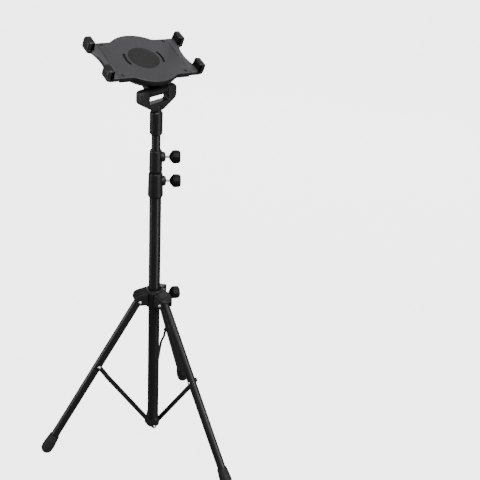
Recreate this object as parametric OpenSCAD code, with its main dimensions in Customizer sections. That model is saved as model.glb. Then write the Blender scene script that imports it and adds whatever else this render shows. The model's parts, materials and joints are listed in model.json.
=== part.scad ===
// Tablet floor stand: folding tripod, telescoping column, tilting and turning holder with sprung jaws.
// The floor is Z = 0 and the holder faces -Y. The column stands on the plane X = 0.
// Leg 1 points to the front, legs 2 and 3 to the back right and back left.

/* [Tripod] */
// Outside diameter of a leg tube
leg_d = 14; // [12:0.5:16]
// Wall of a leg tube
leg_wall = 1; // [0.8:0.1:1.5]
// Length of a leg, from its hub pivot to the centre of its foot's round end
leg_len = 320; // [280:5:380]
// Lean of the legs from upright, as they stand
leg_spread = 30; // [24:1:36]
// Distance of the leg pivots from the column's axis
leg_pivot_r = 25.6; // [24:0.2:29]
// Distance along a leg from its hub pivot to its brace
brace_at = 137.5; // [120:0.5:150]
// Length of a brace between its rivets
brace_len = 165; // [155:1:175]
// Width of a brace bar
brace_w = 7.6; // [6.5:0.1:9]
// Thickness of a brace bar
brace_t = 2.4; // [1.5:0.1:3]
// Radius of a foot's round end
foot_r = 10; // [9:0.25:12]
// Depth of the flat cut into the round end where a foot stands
foot_flat = 1.8; // [1:0.1:3]
// Length of the rubber sleeve above the round end's centre
foot_sleeve = 28; // [18:1:40]
// Shank diameter of the rivets
rivet_d = 4; // [3:0.1:5]
// Head diameter of the rivets
rivet_head_d = 5.4; // [5:0.1:8]

/* [Leg hub and base] */
// Thickness of the hub's cheeks beside each leg
cheek_t = 4; // [3:0.25:6]
// Reach of the hub's hoods from the column's axis
hood_reach = 36; // [34:0.5:42]
// Height of the hub above the leg pivots
hub_rise = 19; // [17:0.5:24]
// Depth of the cheeks below the leg pivots
hub_drop = 6.5; // [5.5:0.5:12]
// Depth of the hub's core below the leg pivots
core_drop = 11; // [8:0.5:16]
// Radius of the base hub
base_r = 11.4; // [11:0.1:16]
// Height of the base hub above the brace pivots
base_rise = 15; // [14:1:30]

/* [Column] */
// Outside diameter of the lower tube
lower_tube_d = 19; // [18:0.25:22]
// Wall of the three column tubes
tube_wall = 0.95; // [0.8:0.05:1.2]
// Length of the middle tube
mid_tube_len = 420; // [380:1:480]
// Length of the lower tube beyond the middle one
lower_tube_more = 28; // [20:1:60]
// Length of the top tube beyond the middle one
top_tube_more = 0; // [-40:1:15]
// Height of the lower collar
lower_collar_h = 41.5; // [36:0.5:55]
// Height of the upper collar
upper_collar_h = 37.5; // [33:0.5:50]
// Wall of a collar at its upper end
collar_wall = 2.2; // [1.8:0.1:3.5]
// Length of the top tube that shows above the upper collar
top_tube_show = 25; // [10:1:60]

/* [Clamps] */
// Outside diameter of a clamp knob
knob_d = 21; // [18:0.5:26]
// Length of a clamp knob
knob_len = 18; // [15:0.5:24]
// Diameter of a clamp screw
screw_d = 4; // [3:0.25:4.5]
// Length of the screw between boss and knob
screw_show = 5.5; // [2:0.25:8]

/* [Head] */
// Outside diameter of the head socket
socket_d = 20; // [18.5:0.25:25]
// Height of the head socket
socket_h = 40; // [36:0.5:55]
// Diameter of the stem that the yoke turns on
stem_d = 10; // [8:0.25:11]
// Width of the yoke across its ears
yoke_w = 71; // [64:0.5:84]
// Depth of the yoke from front to back
yoke_depth = 15; // [13:0.5:18]
// Height of the hinge above the head socket
hinge_rise = 30; // [27:0.5:38]
// Radius of the ears round the hinge
hinge_r = 8; // [7.5:0.25:9]
// Radius of the hinge barrel
barrel_r = 7; // [6:0.25:7.5]
// Length of the hinge barrel
barrel_len = 35.4; // [30:0.2:40]
// Diameter of the hinge pin
hinge_pin_d = 6; // [4:0.25:7]

/* [Holder] */
// Recline of the plate from upright
recline = 68; // [55:1:80]
// Turn of the plate about its own middle
plate_turn = -11.6; // [-30:0.2:30]
// Distance of the plate's middle from the hinge, along the plate
arm_up = 43.5; // [42:0.5:50]
// Distance of the plate's face from the hinge, square to the plate
arm_out = 30; // [29:0.5:36]
// Width of the plate between the jaws
plate_w = 122.6; // [116:0.2:140]
// Height of the plate without its bulges
plate_h = 85; // [82:0.5:96]
// Radius of the plate's round bulges
bulge_r = 56.4; // [52:0.2:60]
// Thickness of the front plate's face
face_t = 2.6; // [2:0.1:3]
// Thickness of the back cover
back_t = 2.8; // [2:0.1:3.5]
// Thickness of the jaws' tongues
tongue_t = 3; // [2.5:0.1:5]
// Diameter of the centre pad
pad_d = 48.6; // [36:0.2:50]
// Width between the claw linings with the jaws closed
grip_w = 149; // [144:0.5:170]
// Distance between the middles of a jaw's two claws
claw_pitch = 67.2; // [56:0.2:70]
// Width of a claw
claw_w = 17.8; // [14:0.2:20]
// Room between the plate and a claw's lip
claw_gap = 10.5; // [8:0.25:18]
// Overhang of a claw's lip past its lining
claw_lip = 2; // [1:0.25:8]
// Thickness of a claw's post
claw_t = 8; // [7:0.25:15]
// Radius of the dish's rim behind the plate
dish_r = 53; // [50:0.5:54]

/* [Hidden] */
// Clearances
fit = 0.06;         // running fit on a radius
seat = 0.05;        // fixed parts that go into each other
tube_gap = 0.3;     // between telescoping tubes
guide_fit = 0.1;    // sliding guides round the tubes
rest_gap = 0.4;     // faces of neighbouring bodies
side_gap = 0.3;     // brace bars beside what they swing on
link_gap = 1;       // round the rivets where the closed linkage is left open
hub_gap = 0.6;      // between the leg hub and the lower tube
cheek_gap = 0.6;    // between a leg and the hub's cheeks
slide_gap = 0.3;    // round the jaws' tongues

$fn = 48;
SPAN = 400;         // longer than any cut

// Tripod, worked out from the legs
LEGS = [1, 2, 3];
foot_z = foot_r - foot_flat;
hub_z = foot_z + leg_len * cos(leg_spread);
rivet_r = rivet_d / 2;
rivet_head_h = 1.7;
rivet_out = leg_pivot_r + brace_at * sin(leg_spread);
rivet_z = hub_z - brace_at * cos(leg_spread);
brace_tilt = asin(rivet_out / brace_len);
base_z = rivet_z - brace_len * cos(brace_tilt);
foot_out = leg_pivot_r + leg_len * sin(leg_spread);
// The front foot reaches twice as far as the back ones, so the column stands behind the middle
mast_y = foot_out / 4;
leg_end_r = 9;
foot_floor = 4;
leg_tube_len = leg_len - foot_floor;
foot_wall = 1.4;
foot_swell = 0.3;
foot_rim_h = 5;
foot_blend = 7;
// Brace faces beside the base and beside the leg
base_flat_wall = 0.9;
base_flat = lower_tube_d / 2 + base_flat_wall;
brace_low = base_flat + side_gap;
brace_high = leg_d / 2 + side_gap;
joggle_from = 22;
joggle_to = 12;

// Column, stacked up from the base
base_drop = 7;
base_dome_r = 14;
base_taper = 1.6;
base_taper_h = 6;
base_rivet_in = 4;
rivet_end_gap = 0.2;
tube_seat = 11;
spigot_len = 19;
mid_tube_d = lower_tube_d - 2 * (tube_wall + tube_gap);
top_tube_d = mid_tube_d - 2 * (tube_wall + tube_gap);
lower_tube_len = mid_tube_len + lower_tube_more;
top_tube_len = mid_tube_len + top_tube_more;
lower_tube_z = base_z + tube_seat;
lower_tube_top = lower_tube_z + lower_tube_len;
collar_seat = 20;
lower_collar_z = lower_tube_top - collar_seat;
lower_collar_top = lower_collar_z + lower_collar_h;
upper_seat = 18;
upper_collar_z = lower_collar_top + rest_gap;
upper_collar_top = upper_collar_z + upper_collar_h;
mid_tube_top = upper_collar_z + upper_seat;
socket_z = upper_collar_top + top_tube_show;
socket_top = socket_z + socket_h;
socket_seat = 20;
top_tube_top = socket_z + socket_seat;
bush_len = 25;
hinge_z = socket_top + hinge_rise;

// Clamps, all on the side away from the back left leg
collar_clamp_az = -40;
hub_clamp_az = -30;
nut_w = 1.75 * screw_d;
nut_t = 0.8 * screw_d;
nut_cover = 2.2;
boss_r = nut_w / 2 + 4.6;
boss_cover = 2.6;
tip_gap = 0.3;
lower_clamp_z = lower_collar_top - 14;
upper_clamp_z = upper_collar_top - 11.5;
hub_clamp_z = hub_z + 7;
lower_bore_r = mid_tube_d / 2 + guide_fit;
upper_bore_r = top_tube_d / 2 + guide_fit;
hub_bore_r = lower_tube_d / 2 + hub_gap;
flutes = 12;

// Leg hub outline beside a leg
swing_gap = 0.8;
core_gap = 0.4;
hub_core_r = leg_pivot_r - leg_end_r - swing_gap - core_gap;
hub_lip_h = 4;
hub_lip_in = 1;
hub_lip_r = hub_core_r - hub_lip_in;
hub_lip_taper = 1.5;
hub_boss_sink = 4;
hub_boss_r = hub_core_r - hub_boss_sink;
hood_t = 4;
chin_turn = 15;
nose_r = 16;
hood_brow = 5;
hood_step = 2;
cheek_out = leg_d / 2 + cheek_gap + cheek_t;
spread_max = 58;

// Holder layers, below the plate's face
plate_t = face_t + tongue_t + 2 * slide_gap + back_t;
shell_t = plate_t - back_t;
skirt_t = 2.4;
bulge_fillet = 10;
cover_inset = 1;
seam_gap = 0.3;
jaw_in = plate_w / 2 + seam_gap;
jaw_h = claw_pitch + claw_w;
lining_t = 1.5;
post_in = grip_w / 2 + lining_t;
post_out = post_in + claw_t;
lip_t = 3.5;
claw_top = claw_gap + lip_t;
claw_low_r = 8.5;
claw_top_r = 3.5;
claw_tip_r = 1.6;
lining_gap = 0.2;
lining_side = 1;
jaw_waist = 5;
tongue_h = plate_h - 2 * skirt_t - 16;
tongue_in = 20;
rail_in = 2.5;
rail_w = 12;
slot_r = 31;
slot_w = 3.6;
slot_half = 21.8;
plate_screw_d = 3;
screw_head_d = 5.4;
screw_head_h = 1.2;
screw_low = 0.3;
screw_end = 1.5;
cross_w = 0.6;
post_d = 6.4;
post_end = 7.1;
screw_x = plate_w / 2 - post_end;
screw_y = plate_h / 2 - skirt_t - post_d / 2 - seat;
pad_sink = 0.6;
pad_t = 1;
swivel_d = 8;
swivel_head_d = 16;
swivel_head_t = tongue_t - 0.4;

// Dish behind the plate, measured from the hinge, square to the plate
dish_top = arm_out - plate_t - rest_gap;
dish_floor = 3;
dish_taper = 19;
dish_low_r = dish_r - dish_taper;
ear_room = 0.9;
arm_inset = 3;
arm_root = 2;
bolt_bite = 4;
dish_wall = 2.4;
boss_hub_r = 11;

// Yoke, measured from the hinge
ear_in = barrel_len / 2 + rest_gap;
slot_step = 1;
saddle_drop = hinge_r + 8;
ear_drop = hinge_r + 8.5;
ear_corner_r = 7;
slot_in = ear_in + slot_step;
saddle_wall = 2.6;
yoke_foot = hinge_rise - rest_gap;
neck_r = 8.6;
neck_h = 7;
pin_bite = 12;
stem_bite = yoke_foot - saddle_drop - saddle_wall;
stem_sink = 17;

// Jaw springs
spring_r = (tongue_t - 0.5) / 2;
wire_r = 0.25;
curls = 14;
curl_rings = 8;
wire_sides = 6;
spring_off = 13;
spring_post_x = 14;
spring_post_r = 1.5;

// Points of an arc, from angle a to angle b
function arc(x, y, r, a, b, n = 8) = [
    for (i = [0 : n])
        let (t = a + (b - a) * i / n)
        [x + r * cos(t), y + r * sin(t)]
];

// Frames that the pieces are drawn in

module on_mast(z = 0) {
    translate([0, mast_y, z]) children();
}

// X outwards along leg k's direction, Y to its left
module leg_frame(k) {
    on_mast() rotate([0, 0, 120 * k - 210]) children();
}

// Z down along leg k from its hub pivot, Y across it
module leg_axis(k) {
    leg_frame(k) translate([leg_pivot_r, 0, hub_z]) rotate([0, 180 - leg_spread, 0]) children();
}

// Z up along brace k from its base pivot, Y across it
module brace_axis(k) {
    leg_frame(k) translate([0, 0, base_z]) rotate([0, brace_tilt, 0]) children();
}

// Z outwards along a clamp screw at height z
module clamp_axis(z, az = collar_clamp_az) {
    on_mast(z) rotate([0, 0, az]) rotate([0, 90, 0]) children();
}

// X along the hinge, Y up the plate, Z square to it
module tilt_frame() {
    on_mast(hinge_z) rotate([90 - recline, 0, 0]) children();
}

// Origin in the middle of the plate's face, X across the plate, Y up it, Z out of it
module plate_frame() {
    tilt_frame() translate([0, arm_up, arm_out]) rotate([0, 0, plate_turn]) children();
}

// Shapes that repeat

module tube(d, wall, len) {
    difference() {
        cylinder(h = len, d = d);
        translate([0, 0, -1]) cylinder(h = len + 2, d = d - 2 * wall);
    }
}

// Domed head of radius r and height h, standing on Z = 0
module dome(r, h) {
    ball = (r * r + h * h) / (2 * h);
    rotate_extrude() intersection() {
        translate([0, h - ball]) circle(r = ball);
        square([r, h]);
    }
}

// Rivet across Y from y0 to y1, with its heads outside
module rivet(y0, y1, head_d = rivet_head_d) {
    rotate([-90, 0, 0]) {
        translate([0, 0, y0]) cylinder(h = y1 - y0, r = rivet_r);
        translate([0, 0, y1]) dome(head_d / 2, rivet_head_h);
        translate([0, 0, y0]) mirror([0, 0, 1]) dome(head_d / 2, rivet_head_h);
    }
}

module cross_hole(r, y0 = -SPAN / 2, y1 = SPAN / 2) {
    rotate([-90, 0, 0]) translate([0, 0, y0]) cylinder(h = y1 - y0, r = r);
}

// Clamp boss with its nut pocket at bore_r: the boss, and what is cut out of it
module clamp_boss(bore_r) {
    out = bore_r + nut_cover + nut_t + boss_cover;
    cylinder(h = out - 2, r = boss_r);
    translate([0, 0, out - 2]) cylinder(h = 2, r1 = boss_r, r2 = boss_r - 2);
}

module clamp_cuts(bore_r) {
    cylinder(h = SPAN, r = screw_d / 2 + fit);
    translate([0, 0, bore_r + nut_cover - seat]) hex_prism(nut_w + 2 * seat, nut_t + 2 * seat);
}

module hex_prism(across, h) {
    cylinder(h = h, d = across / cos(30), $fn = 6);
}

module clamp_nut(bore_r) {
    color("silver") difference() {
        translate([0, 0, bore_r + nut_cover]) hex_prism(nut_w, nut_t);
        cylinder(h = SPAN, r = screw_d / 2 + fit);
    }
}

function boss_end(bore_r) = bore_r + nut_cover + nut_t + boss_cover;
function knob_start(bore_r) = boss_end(bore_r) + screw_show;

// Screw from just off the tube of radius tube_r to well inside the knob
module clamp_screw(bore_r, tube_r) {
    color("gainsboro")
        translate([0, 0, tube_r]) cylinder(h = knob_start(bore_r) + knob_len * 0.6 - tube_r, d = screw_d);
}

// Fluted knob with a cone towards the column
module clamp_knob(bore_r) {
    r = knob_d / 2;
    color("dimgray") translate([0, 0, knob_start(bore_r)]) difference() {
        rotate_extrude() polygon(concat(
            [[0, 0], [screw_d / 2 + 1, 0], [r - 1.6, knob_len * 0.3], [r, knob_len * 0.55]],
            arc(r - 4.2, knob_len - 4, 4, 0, 80),
            [[0, knob_len]]
        ));
        translate([0, 0, -1]) cylinder(h = knob_len * 0.6 + 1 + seat, r = screw_d / 2 + seat);
        for (i = [0 : flutes - 1])
            rotate([0, 0, 360 * i / flutes])
                translate([r + 1, 0, knob_len * 0.3]) cylinder(h = knob_len, r = 1.6, $fn = 16);
    }
}

// Collar from z0 to z1: outer radii at foot and top, seat on the lower tube, guide round the upper one
module collar(z0, z1, r_low, r_top, seat_r, seat_h, bore_r, clamp_z) {
    chamfer = 3;
    h = z1 - z0;
    difference() {
        union() {
            on_mast(z0) rotate_extrude() polygon([
                [0, 0], [r_low - chamfer * 0.6, 0], [r_low, chamfer],
                [r_top + 0.4, h - 2], [r_top - 0.4, h], [0, h]
            ]);
            clamp_axis(clamp_z) clamp_boss(bore_r);
        }
        on_mast(z0 - 1) cylinder(h = seat_h + 1, r = seat_r + seat);
        on_mast(z0) cylinder(h = h + 1, r = bore_r);
        clamp_axis(clamp_z) clamp_cuts(bore_r);
    }
}

// Base and braces

module base_hub() {
    color("dimgray") difference() {
        on_mast(base_z) rotate_extrude() union() {
            intersection() {
                translate([0, base_dome_r - base_drop]) circle(r = base_dome_r);
                translate([0, -base_drop]) square([base_r, base_drop]);
            }
            polygon([
                [0, 0], [base_r, 0], [base_r, base_rise - base_taper_h], [base_r - base_taper, base_rise],
                [lower_tube_d / 2 + seat, base_rise], [lower_tube_d / 2 + seat, tube_seat],
                [lower_tube_d / 2 - tube_wall - guide_fit, tube_seat],
                [lower_tube_d / 2 - tube_wall - guide_fit, tube_seat + spigot_len],
                [0, tube_seat + spigot_len]
            ]);
        }
        for (k = LEGS) leg_frame(k) {
            translate([-SPAN / 2, base_flat, base_z - base_drop - 1])
                cube([SPAN, SPAN, base_rise + base_drop + 2]);
            translate([0, 0, base_z]) cross_hole(rivet_r + seat, base_rivet_in - rivet_end_gap);
        }
    }
}

module base_rivets() {
    color("silver") for (k = LEGS) leg_frame(k) translate([0, 0, base_z]) rotate([-90, 0, 0]) {
        translate([0, 0, base_rivet_in])
            cylinder(h = brace_low + brace_t + side_gap - base_rivet_in, r = rivet_r);
        translate([0, 0, brace_low + brace_t + side_gap]) dome(rivet_head_d / 2, rivet_head_h);
    }
}

// Flat bar, joggled towards the leg, with round ends
module brace(k) {
    end = brace_w / 2;
    color("dimgray") brace_axis(k) difference() {
        intersection() {
            rotate([0, -90, 0]) linear_extrude(brace_w, center = true) polygon([
                [-end, brace_low], [brace_len - joggle_from, brace_low], [brace_len - joggle_to, brace_high],
                [brace_len + end, brace_high], [brace_len + end, brace_high + brace_t],
                [brace_len - joggle_to, brace_high + brace_t], [brace_len - joggle_from, brace_low + brace_t],
                [-end, brace_low + brace_t]
            ]);
            rotate([90, 0, 0]) linear_extrude(SPAN, center = true) {
                translate([-end, 0]) square([brace_w, brace_len]);
                circle(r = end);
                translate([0, brace_len]) circle(r = end);
            }
        }
        cross_hole(rivet_r + fit);
        translate([0, 0, brace_len]) cross_hole(rivet_r + fit);
    }
}

module brace_rivet(k) {
    color("silver") leg_axis(k) translate([0, 0, brace_at])
        rivet(-leg_d / 2 - seat, brace_high + brace_t + side_gap);
}

// Legs and feet

// The rivet hole at the hub is a running fit on leg 1, and wide on the legs where the linkage is open
module leg_tube(k) {
    color("dimgray") leg_axis(k) difference() {
        intersection() {
            translate([0, 0, -leg_end_r]) tube(leg_d, leg_wall, leg_end_r + leg_tube_len);
            union() {
                cross_hole(leg_end_r, -leg_d, leg_d);
                translate([-leg_d, -leg_d, 0]) cube([2 * leg_d, 2 * leg_d, leg_len]);
            }
        }
        cross_hole(k == 1 ? rivet_r + fit : rivet_r + link_gap);
        translate([0, 0, brace_at]) cross_hole(rivet_r + seat);
    }
}

// Rubber sleeve with a round end, cut flat on the floor
module foot(k) {
    rim = leg_d / 2 + foot_wall;
    color("black") difference() {
        leg_axis(k) rotate_extrude() union() {
            translate([0, leg_len]) intersection() {
                circle(r = foot_r);
                square([foot_r, foot_r]);
            }
            polygon([
                [0, leg_len - foot_sleeve], [rim, leg_len - foot_sleeve],
                [rim + foot_swell, leg_len - foot_sleeve + foot_rim_h],
                [foot_r + foot_swell, leg_len - foot_blend], [foot_r, leg_len], [0, leg_len]
            ]);
        }
        leg_axis(k) translate([0, 0, -1]) cylinder(h = leg_tube_len + 1 + seat, r = leg_d / 2 + seat);
        translate([-SPAN, -SPAN, -SPAN]) cube([2 * SPAN, 2 * SPAN, SPAN]);
    }
}

// Leg hub: a core round the column, three hooded lobes, and the clamp boss

module leg_hub() {
    color("dimgray") difference() {
        union() {
            on_mast(hub_z - core_drop) cylinder(h = core_drop + hub_rise - hub_lip_h / 2, r = hub_core_r);
            on_mast(hub_z + hub_rise - hub_lip_h)
                cylinder(h = hub_lip_h, r1 = hub_lip_r, r2 = hub_lip_r - hub_lip_taper);
            for (k = LEGS) leg_frame(k) translate([0, 0, hub_z]) intersection() {
                hood();
                nose();
            }
            clamp_axis(hub_clamp_z, hub_clamp_az) clamp_boss(hub_boss_r);
        }
        for (k = LEGS) leg_frame(k) translate([leg_pivot_r, 0, hub_z]) {
            leg_room();
            cross_hole(rivet_r + seat, -cheek_out - 1, cheek_out + 1);
        }
        on_mast(hub_z - SPAN / 2) cylinder(h = SPAN, r = hub_bore_r);
        clamp_axis(hub_clamp_z, hub_clamp_az) clamp_cuts(hub_boss_r);
    }
}

// One lobe's side, from the column outwards, across both cheeks, round below the leg's pivot
module hood() {
    rotate([90, 0, 0]) linear_extrude(2 * cheek_out, center = true) polygon(concat(
        [[0, -hub_drop]],
        arc(leg_pivot_r, 0, hub_drop, -90, -chin_turn),
        [
            [hood_reach + hub_lip_in, leg_end_r - hood_brow - hub_lip_in],
            [hood_reach + hub_lip_in, leg_end_r - hub_lip_in],
            [leg_pivot_r + hood_step + hub_lip_in, leg_end_r + hood_t],
            [hub_core_r - hood_step, hub_rise - hood_step], [0, hub_rise - hood_step]
        ]
    ));
}

// One lobe seen from above, with a round nose
module nose() {
    translate([0, 0, -SPAN / 2]) linear_extrude(SPAN) {
        translate([hood_reach - nose_r, 0]) circle(r = nose_r);
        translate([0, -nose_r]) square([hood_reach - nose_r, 2 * nose_r]);
    }
}

// Room for a leg to swing between the cheeks, from upright to its widest spread
module leg_room() {
    room = leg_d / 2 + cheek_gap;
    swing = leg_end_r + swing_gap;
    rotate([90, 0, 0]) linear_extrude(2 * room, center = true) {
        circle(r = swing);
        polygon([
            [-swing, 0], [-swing, -SPAN], [SPAN, -SPAN],
            [swing * cos(spread_max) + SPAN, swing * sin(spread_max) - SPAN / tan(spread_max)],
            [swing * cos(spread_max), swing * sin(spread_max)], [0, 0]
        ]);
    }
}

module hub_rivets() {
    color("silver") for (k = LEGS) leg_frame(k) translate([leg_pivot_r, 0, hub_z])
        rivet(-cheek_out, cheek_out);
}

// Column

module lower_tube() {
    color("dimgray") on_mast(lower_tube_z) tube(lower_tube_d, tube_wall, lower_tube_len);
}

module lower_collar() {
    color("dimgray") collar(
        lower_collar_z, lower_collar_top, lower_tube_d / 2 + 2.65, mid_tube_d / 2 + collar_wall + 0.3,
        lower_tube_d / 2, collar_seat, lower_bore_r, lower_clamp_z
    );
}

module mid_tube() {
    color("dimgray") on_mast(mid_tube_top - mid_tube_len) tube(mid_tube_d, tube_wall, mid_tube_len);
}

// Guide on a tube's lower end: a flange below the tube and a spigot inside it
module bush(outer_d, inner_d, bottom) {
    color("gainsboro") on_mast(bottom) difference() {
        union() {
            translate([0, 0, -4]) cylinder(h = 4, d = outer_d - 2 * tube_wall - 2 * guide_fit);
            cylinder(h = bush_len, d = inner_d - 2 * seat);
        }
        translate([0, 0, -5]) cylinder(h = bush_len + 6, d = inner_d - 5);
    }
}

module mid_bush() {
    bush(lower_tube_d, mid_tube_d - 2 * tube_wall, mid_tube_top - mid_tube_len);
}

module upper_collar() {
    color("dimgray") collar(
        upper_collar_z, upper_collar_top, mid_tube_d / 2 + 2.2, top_tube_d / 2 + collar_wall,
        mid_tube_d / 2, upper_seat, upper_bore_r, upper_clamp_z
    );
}

module top_tube() {
    color("dimgray") on_mast(top_tube_top - top_tube_len) tube(top_tube_d, tube_wall, top_tube_len);
}

module top_bush() {
    bush(mid_tube_d, top_tube_d - 2 * tube_wall, top_tube_top - top_tube_len);
}

// Clamps

module lower_clamp_nut() {
    clamp_axis(lower_clamp_z) clamp_nut(lower_bore_r);
}

module lower_clamp_screw() {
    clamp_axis(lower_clamp_z) clamp_screw(lower_bore_r, mid_tube_d / 2 + tip_gap);
}

module lower_clamp_knob() {
    clamp_axis(lower_clamp_z) clamp_knob(lower_bore_r);
}

module upper_clamp_nut() {
    clamp_axis(upper_clamp_z) clamp_nut(upper_bore_r);
}

module upper_clamp_screw() {
    clamp_axis(upper_clamp_z) clamp_screw(upper_bore_r, top_tube_d / 2 + tip_gap);
}

module upper_clamp_knob() {
    clamp_axis(upper_clamp_z) clamp_knob(upper_bore_r);
}

module hub_clamp_nut() {
    clamp_axis(hub_clamp_z, hub_clamp_az) clamp_nut(hub_boss_r);
}

module hub_clamp_screw() {
    clamp_axis(hub_clamp_z, hub_clamp_az) clamp_screw(hub_boss_r, hub_bore_r + tip_gap);
}

module hub_clamp_knob() {
    clamp_axis(hub_clamp_z, hub_clamp_az) clamp_knob(hub_boss_r);
}

// Head

set_screw_az = -110;
set_screw_r = 2;
set_screw_up = 12;

module set_screw_axis() {
    on_mast(socket_z + set_screw_up) rotate([0, 0, set_screw_az]) rotate([0, 90, 0]) children();
}

module head_socket() {
    r = socket_d / 2;
    color("dimgray") difference() {
        on_mast(socket_z) rotate_extrude() polygon(concat(
            [[0, 0], [r - 2.4, 0], [r, 3]],
            arc(r - 4, socket_h - 5, 4, 0, 70),
            [[stem_d / 2 + 2.2, socket_h], [0, socket_h]]
        ));
        on_mast(socket_z - 1) cylinder(h = socket_seat + 1, r = top_tube_d / 2 + seat);
        on_mast(socket_top - stem_sink - rest_gap) cylinder(h = SPAN, r = stem_d / 2 + fit);
        set_screw_axis() cylinder(h = SPAN, r = set_screw_r);
    }
}

module socket_screw() {
    color("black") set_screw_axis() translate([0, 0, top_tube_d / 2 + seat]) difference() {
        cylinder(h = (socket_d - top_tube_d) / 2 - 0.5, r = set_screw_r - seat);
        translate([0, 0, 1]) hex_prism(set_screw_r, SPAN);
    }
}

module head_stem() {
    color("silver") on_mast(socket_top - stem_sink)
        cylinder(h = stem_sink + rest_gap + stem_bite, d = stem_d);
}

// Yoke's front: two ears, the gap between them, the slot below it, and a V down to the neck
module yoke_front() {
    corner_x = yoke_w / 2 - ear_corner_r;
    corner_z = -ear_drop + ear_corner_r;
    top_x = yoke_w / 2 - hinge_r;
    difference() {
        polygon(concat(
            [[-neck_r, -yoke_foot], [neck_r, -yoke_foot]],
            arc(corner_x, corner_z, ear_corner_r, -60, 0), arc(top_x, 0, hinge_r, 0, 90),
            arc(-top_x, 0, hinge_r, 90, 180), arc(-corner_x, corner_z, ear_corner_r, 180, 240)
        ));
        translate([-ear_in, -hinge_r - slot_step]) square([2 * ear_in, SPAN]);
        translate([-slot_in, -saddle_drop]) square([2 * slot_in, saddle_drop - hinge_r]);
    }
}

module yoke() {
    color("dimgray") on_mast(hinge_z) difference() {
        union() {
            intersection() {
                rotate([90, 0, 0]) linear_extrude(yoke_depth, center = true) yoke_front();
                rotate([90, 0, 90]) linear_extrude(yoke_w + 2, center = true) {
                    circle(r = hinge_r);
                    translate([-yoke_depth / 2 - 1, -yoke_foot - 1]) square([yoke_depth + 2, yoke_foot + 1]);
                }
            }
            translate([0, 0, -yoke_foot]) cylinder(h = neck_h, r = neck_r);
        }
        rotate([0, 90, 0])
            cylinder(h = 2 * (ear_in + pin_bite + seat), r = hinge_pin_d / 2 + seat, center = true);
        translate([0, 0, -yoke_foot - 1]) cylinder(h = stem_bite + 1 + seat, r = stem_d / 2 + seat);
    }
}

module hinge_pin() {
    color("silver") on_mast(hinge_z) rotate([0, 90, 0])
        cylinder(h = 2 * (ear_in + pin_bite), d = hinge_pin_d, center = true);
}

// Round dish behind the plate, with the hinge barrel at its lower edge
module swivel_dish() {
    color("dimgray") tilt_frame() difference() {
        union() {
            difference() {
                translate([0, arm_up, 0]) rotate_extrude() polygon([
                    [0, dish_floor], [dish_low_r, dish_floor],
                    [dish_r, dish_top], [dish_r - dish_wall, dish_top],
                    [dish_low_r - dish_wall, dish_floor + dish_wall], [boss_hub_r, dish_floor + dish_wall],
                    [boss_hub_r, dish_top], [0, dish_top]
                ]);
                for (side = [-1, 1]) translate([side * (barrel_len / 2 + SPAN / 2), 0, 0])
                    rotate([0, 90, 0]) cylinder(h = SPAN, r = hinge_r + ear_room, center = true);
            }
            rotate([0, 90, 0]) cylinder(h = barrel_len, r = barrel_r, center = true);
            rotate([90, 0, 90]) linear_extrude(barrel_len - 2 * arm_inset, center = true) polygon([
                [0, -barrel_r], [arm_up - dish_low_r / 2, dish_floor],
                [arm_up - dish_low_r / 2, dish_floor + arm_root], [0, barrel_r]
            ]);
        }
        rotate([0, 90, 0]) cylinder(h = SPAN, r = hinge_pin_d / 2 + fit, center = true);
        translate([0, arm_up, dish_floor + bolt_bite]) cylinder(h = SPAN, r = swivel_d / 2 + seat);
    }
}

// Bolt that holds the plate to the dish, with its head between the tongues
module swivel_bolt() {
    head_z = arm_out - shell_t + slide_gap / 2;
    color("silver") tilt_frame() translate([0, arm_up, 0]) {
        translate([0, 0, dish_floor + bolt_bite + seat])
            cylinder(h = head_z - dish_floor - bolt_bite - seat, d = swivel_d);
        translate([0, 0, head_z]) cylinder(h = swivel_head_t, d = swivel_head_d);
    }
}

// Holder

// Plate outline drawn in by an inset: straight ends, round bulges, and fillets where they meet
module plate_outline(inset, half_w) {
    hh = plate_h / 2 - inset;
    r = bulge_r - inset;
    f = bulge_fillet + inset;
    fy = hh + f;
    fx = sqrt((r + f) * (r + f) - fy * fy);
    turn = atan2(fy, fx);
    polygon(concat(
        [[half_w, -hh], [half_w, hh]],
        arc(fx, fy, f, 270, 180 + turn), arc(0, 0, r, turn, 180 - turn, 32), arc(-fx, fy, f, 360 - turn, 270),
        [[-half_w, hh], [-half_w, -hh]],
        arc(-fx, -fy, f, 90, turn), arc(0, 0, r, 180 + turn, 360 - turn, 32), arc(fx, -fy, f, 180 - turn, 90)
    ));
}

module at_plate_screws() {
    for (sx = [-1, 1]) for (sy = [-1, 1]) translate([sx * screw_x, sy * screw_y, 0]) children();
}

// Curved slot at one side of the pad, with round ends
module face_slot() {
    end = slot_w / 2;
    ex = slot_r * cos(slot_half);
    ey = slot_r * sin(slot_half);
    polygon(concat(
        arc(0, 0, slot_r + end, -slot_half, slot_half), arc(ex, ey, end, slot_half + 20, slot_half + 160),
        arc(0, 0, slot_r - end, slot_half, -slot_half), arc(ex, -ey, end, 200 - slot_half, 340 - slot_half)
    ));
}

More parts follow.
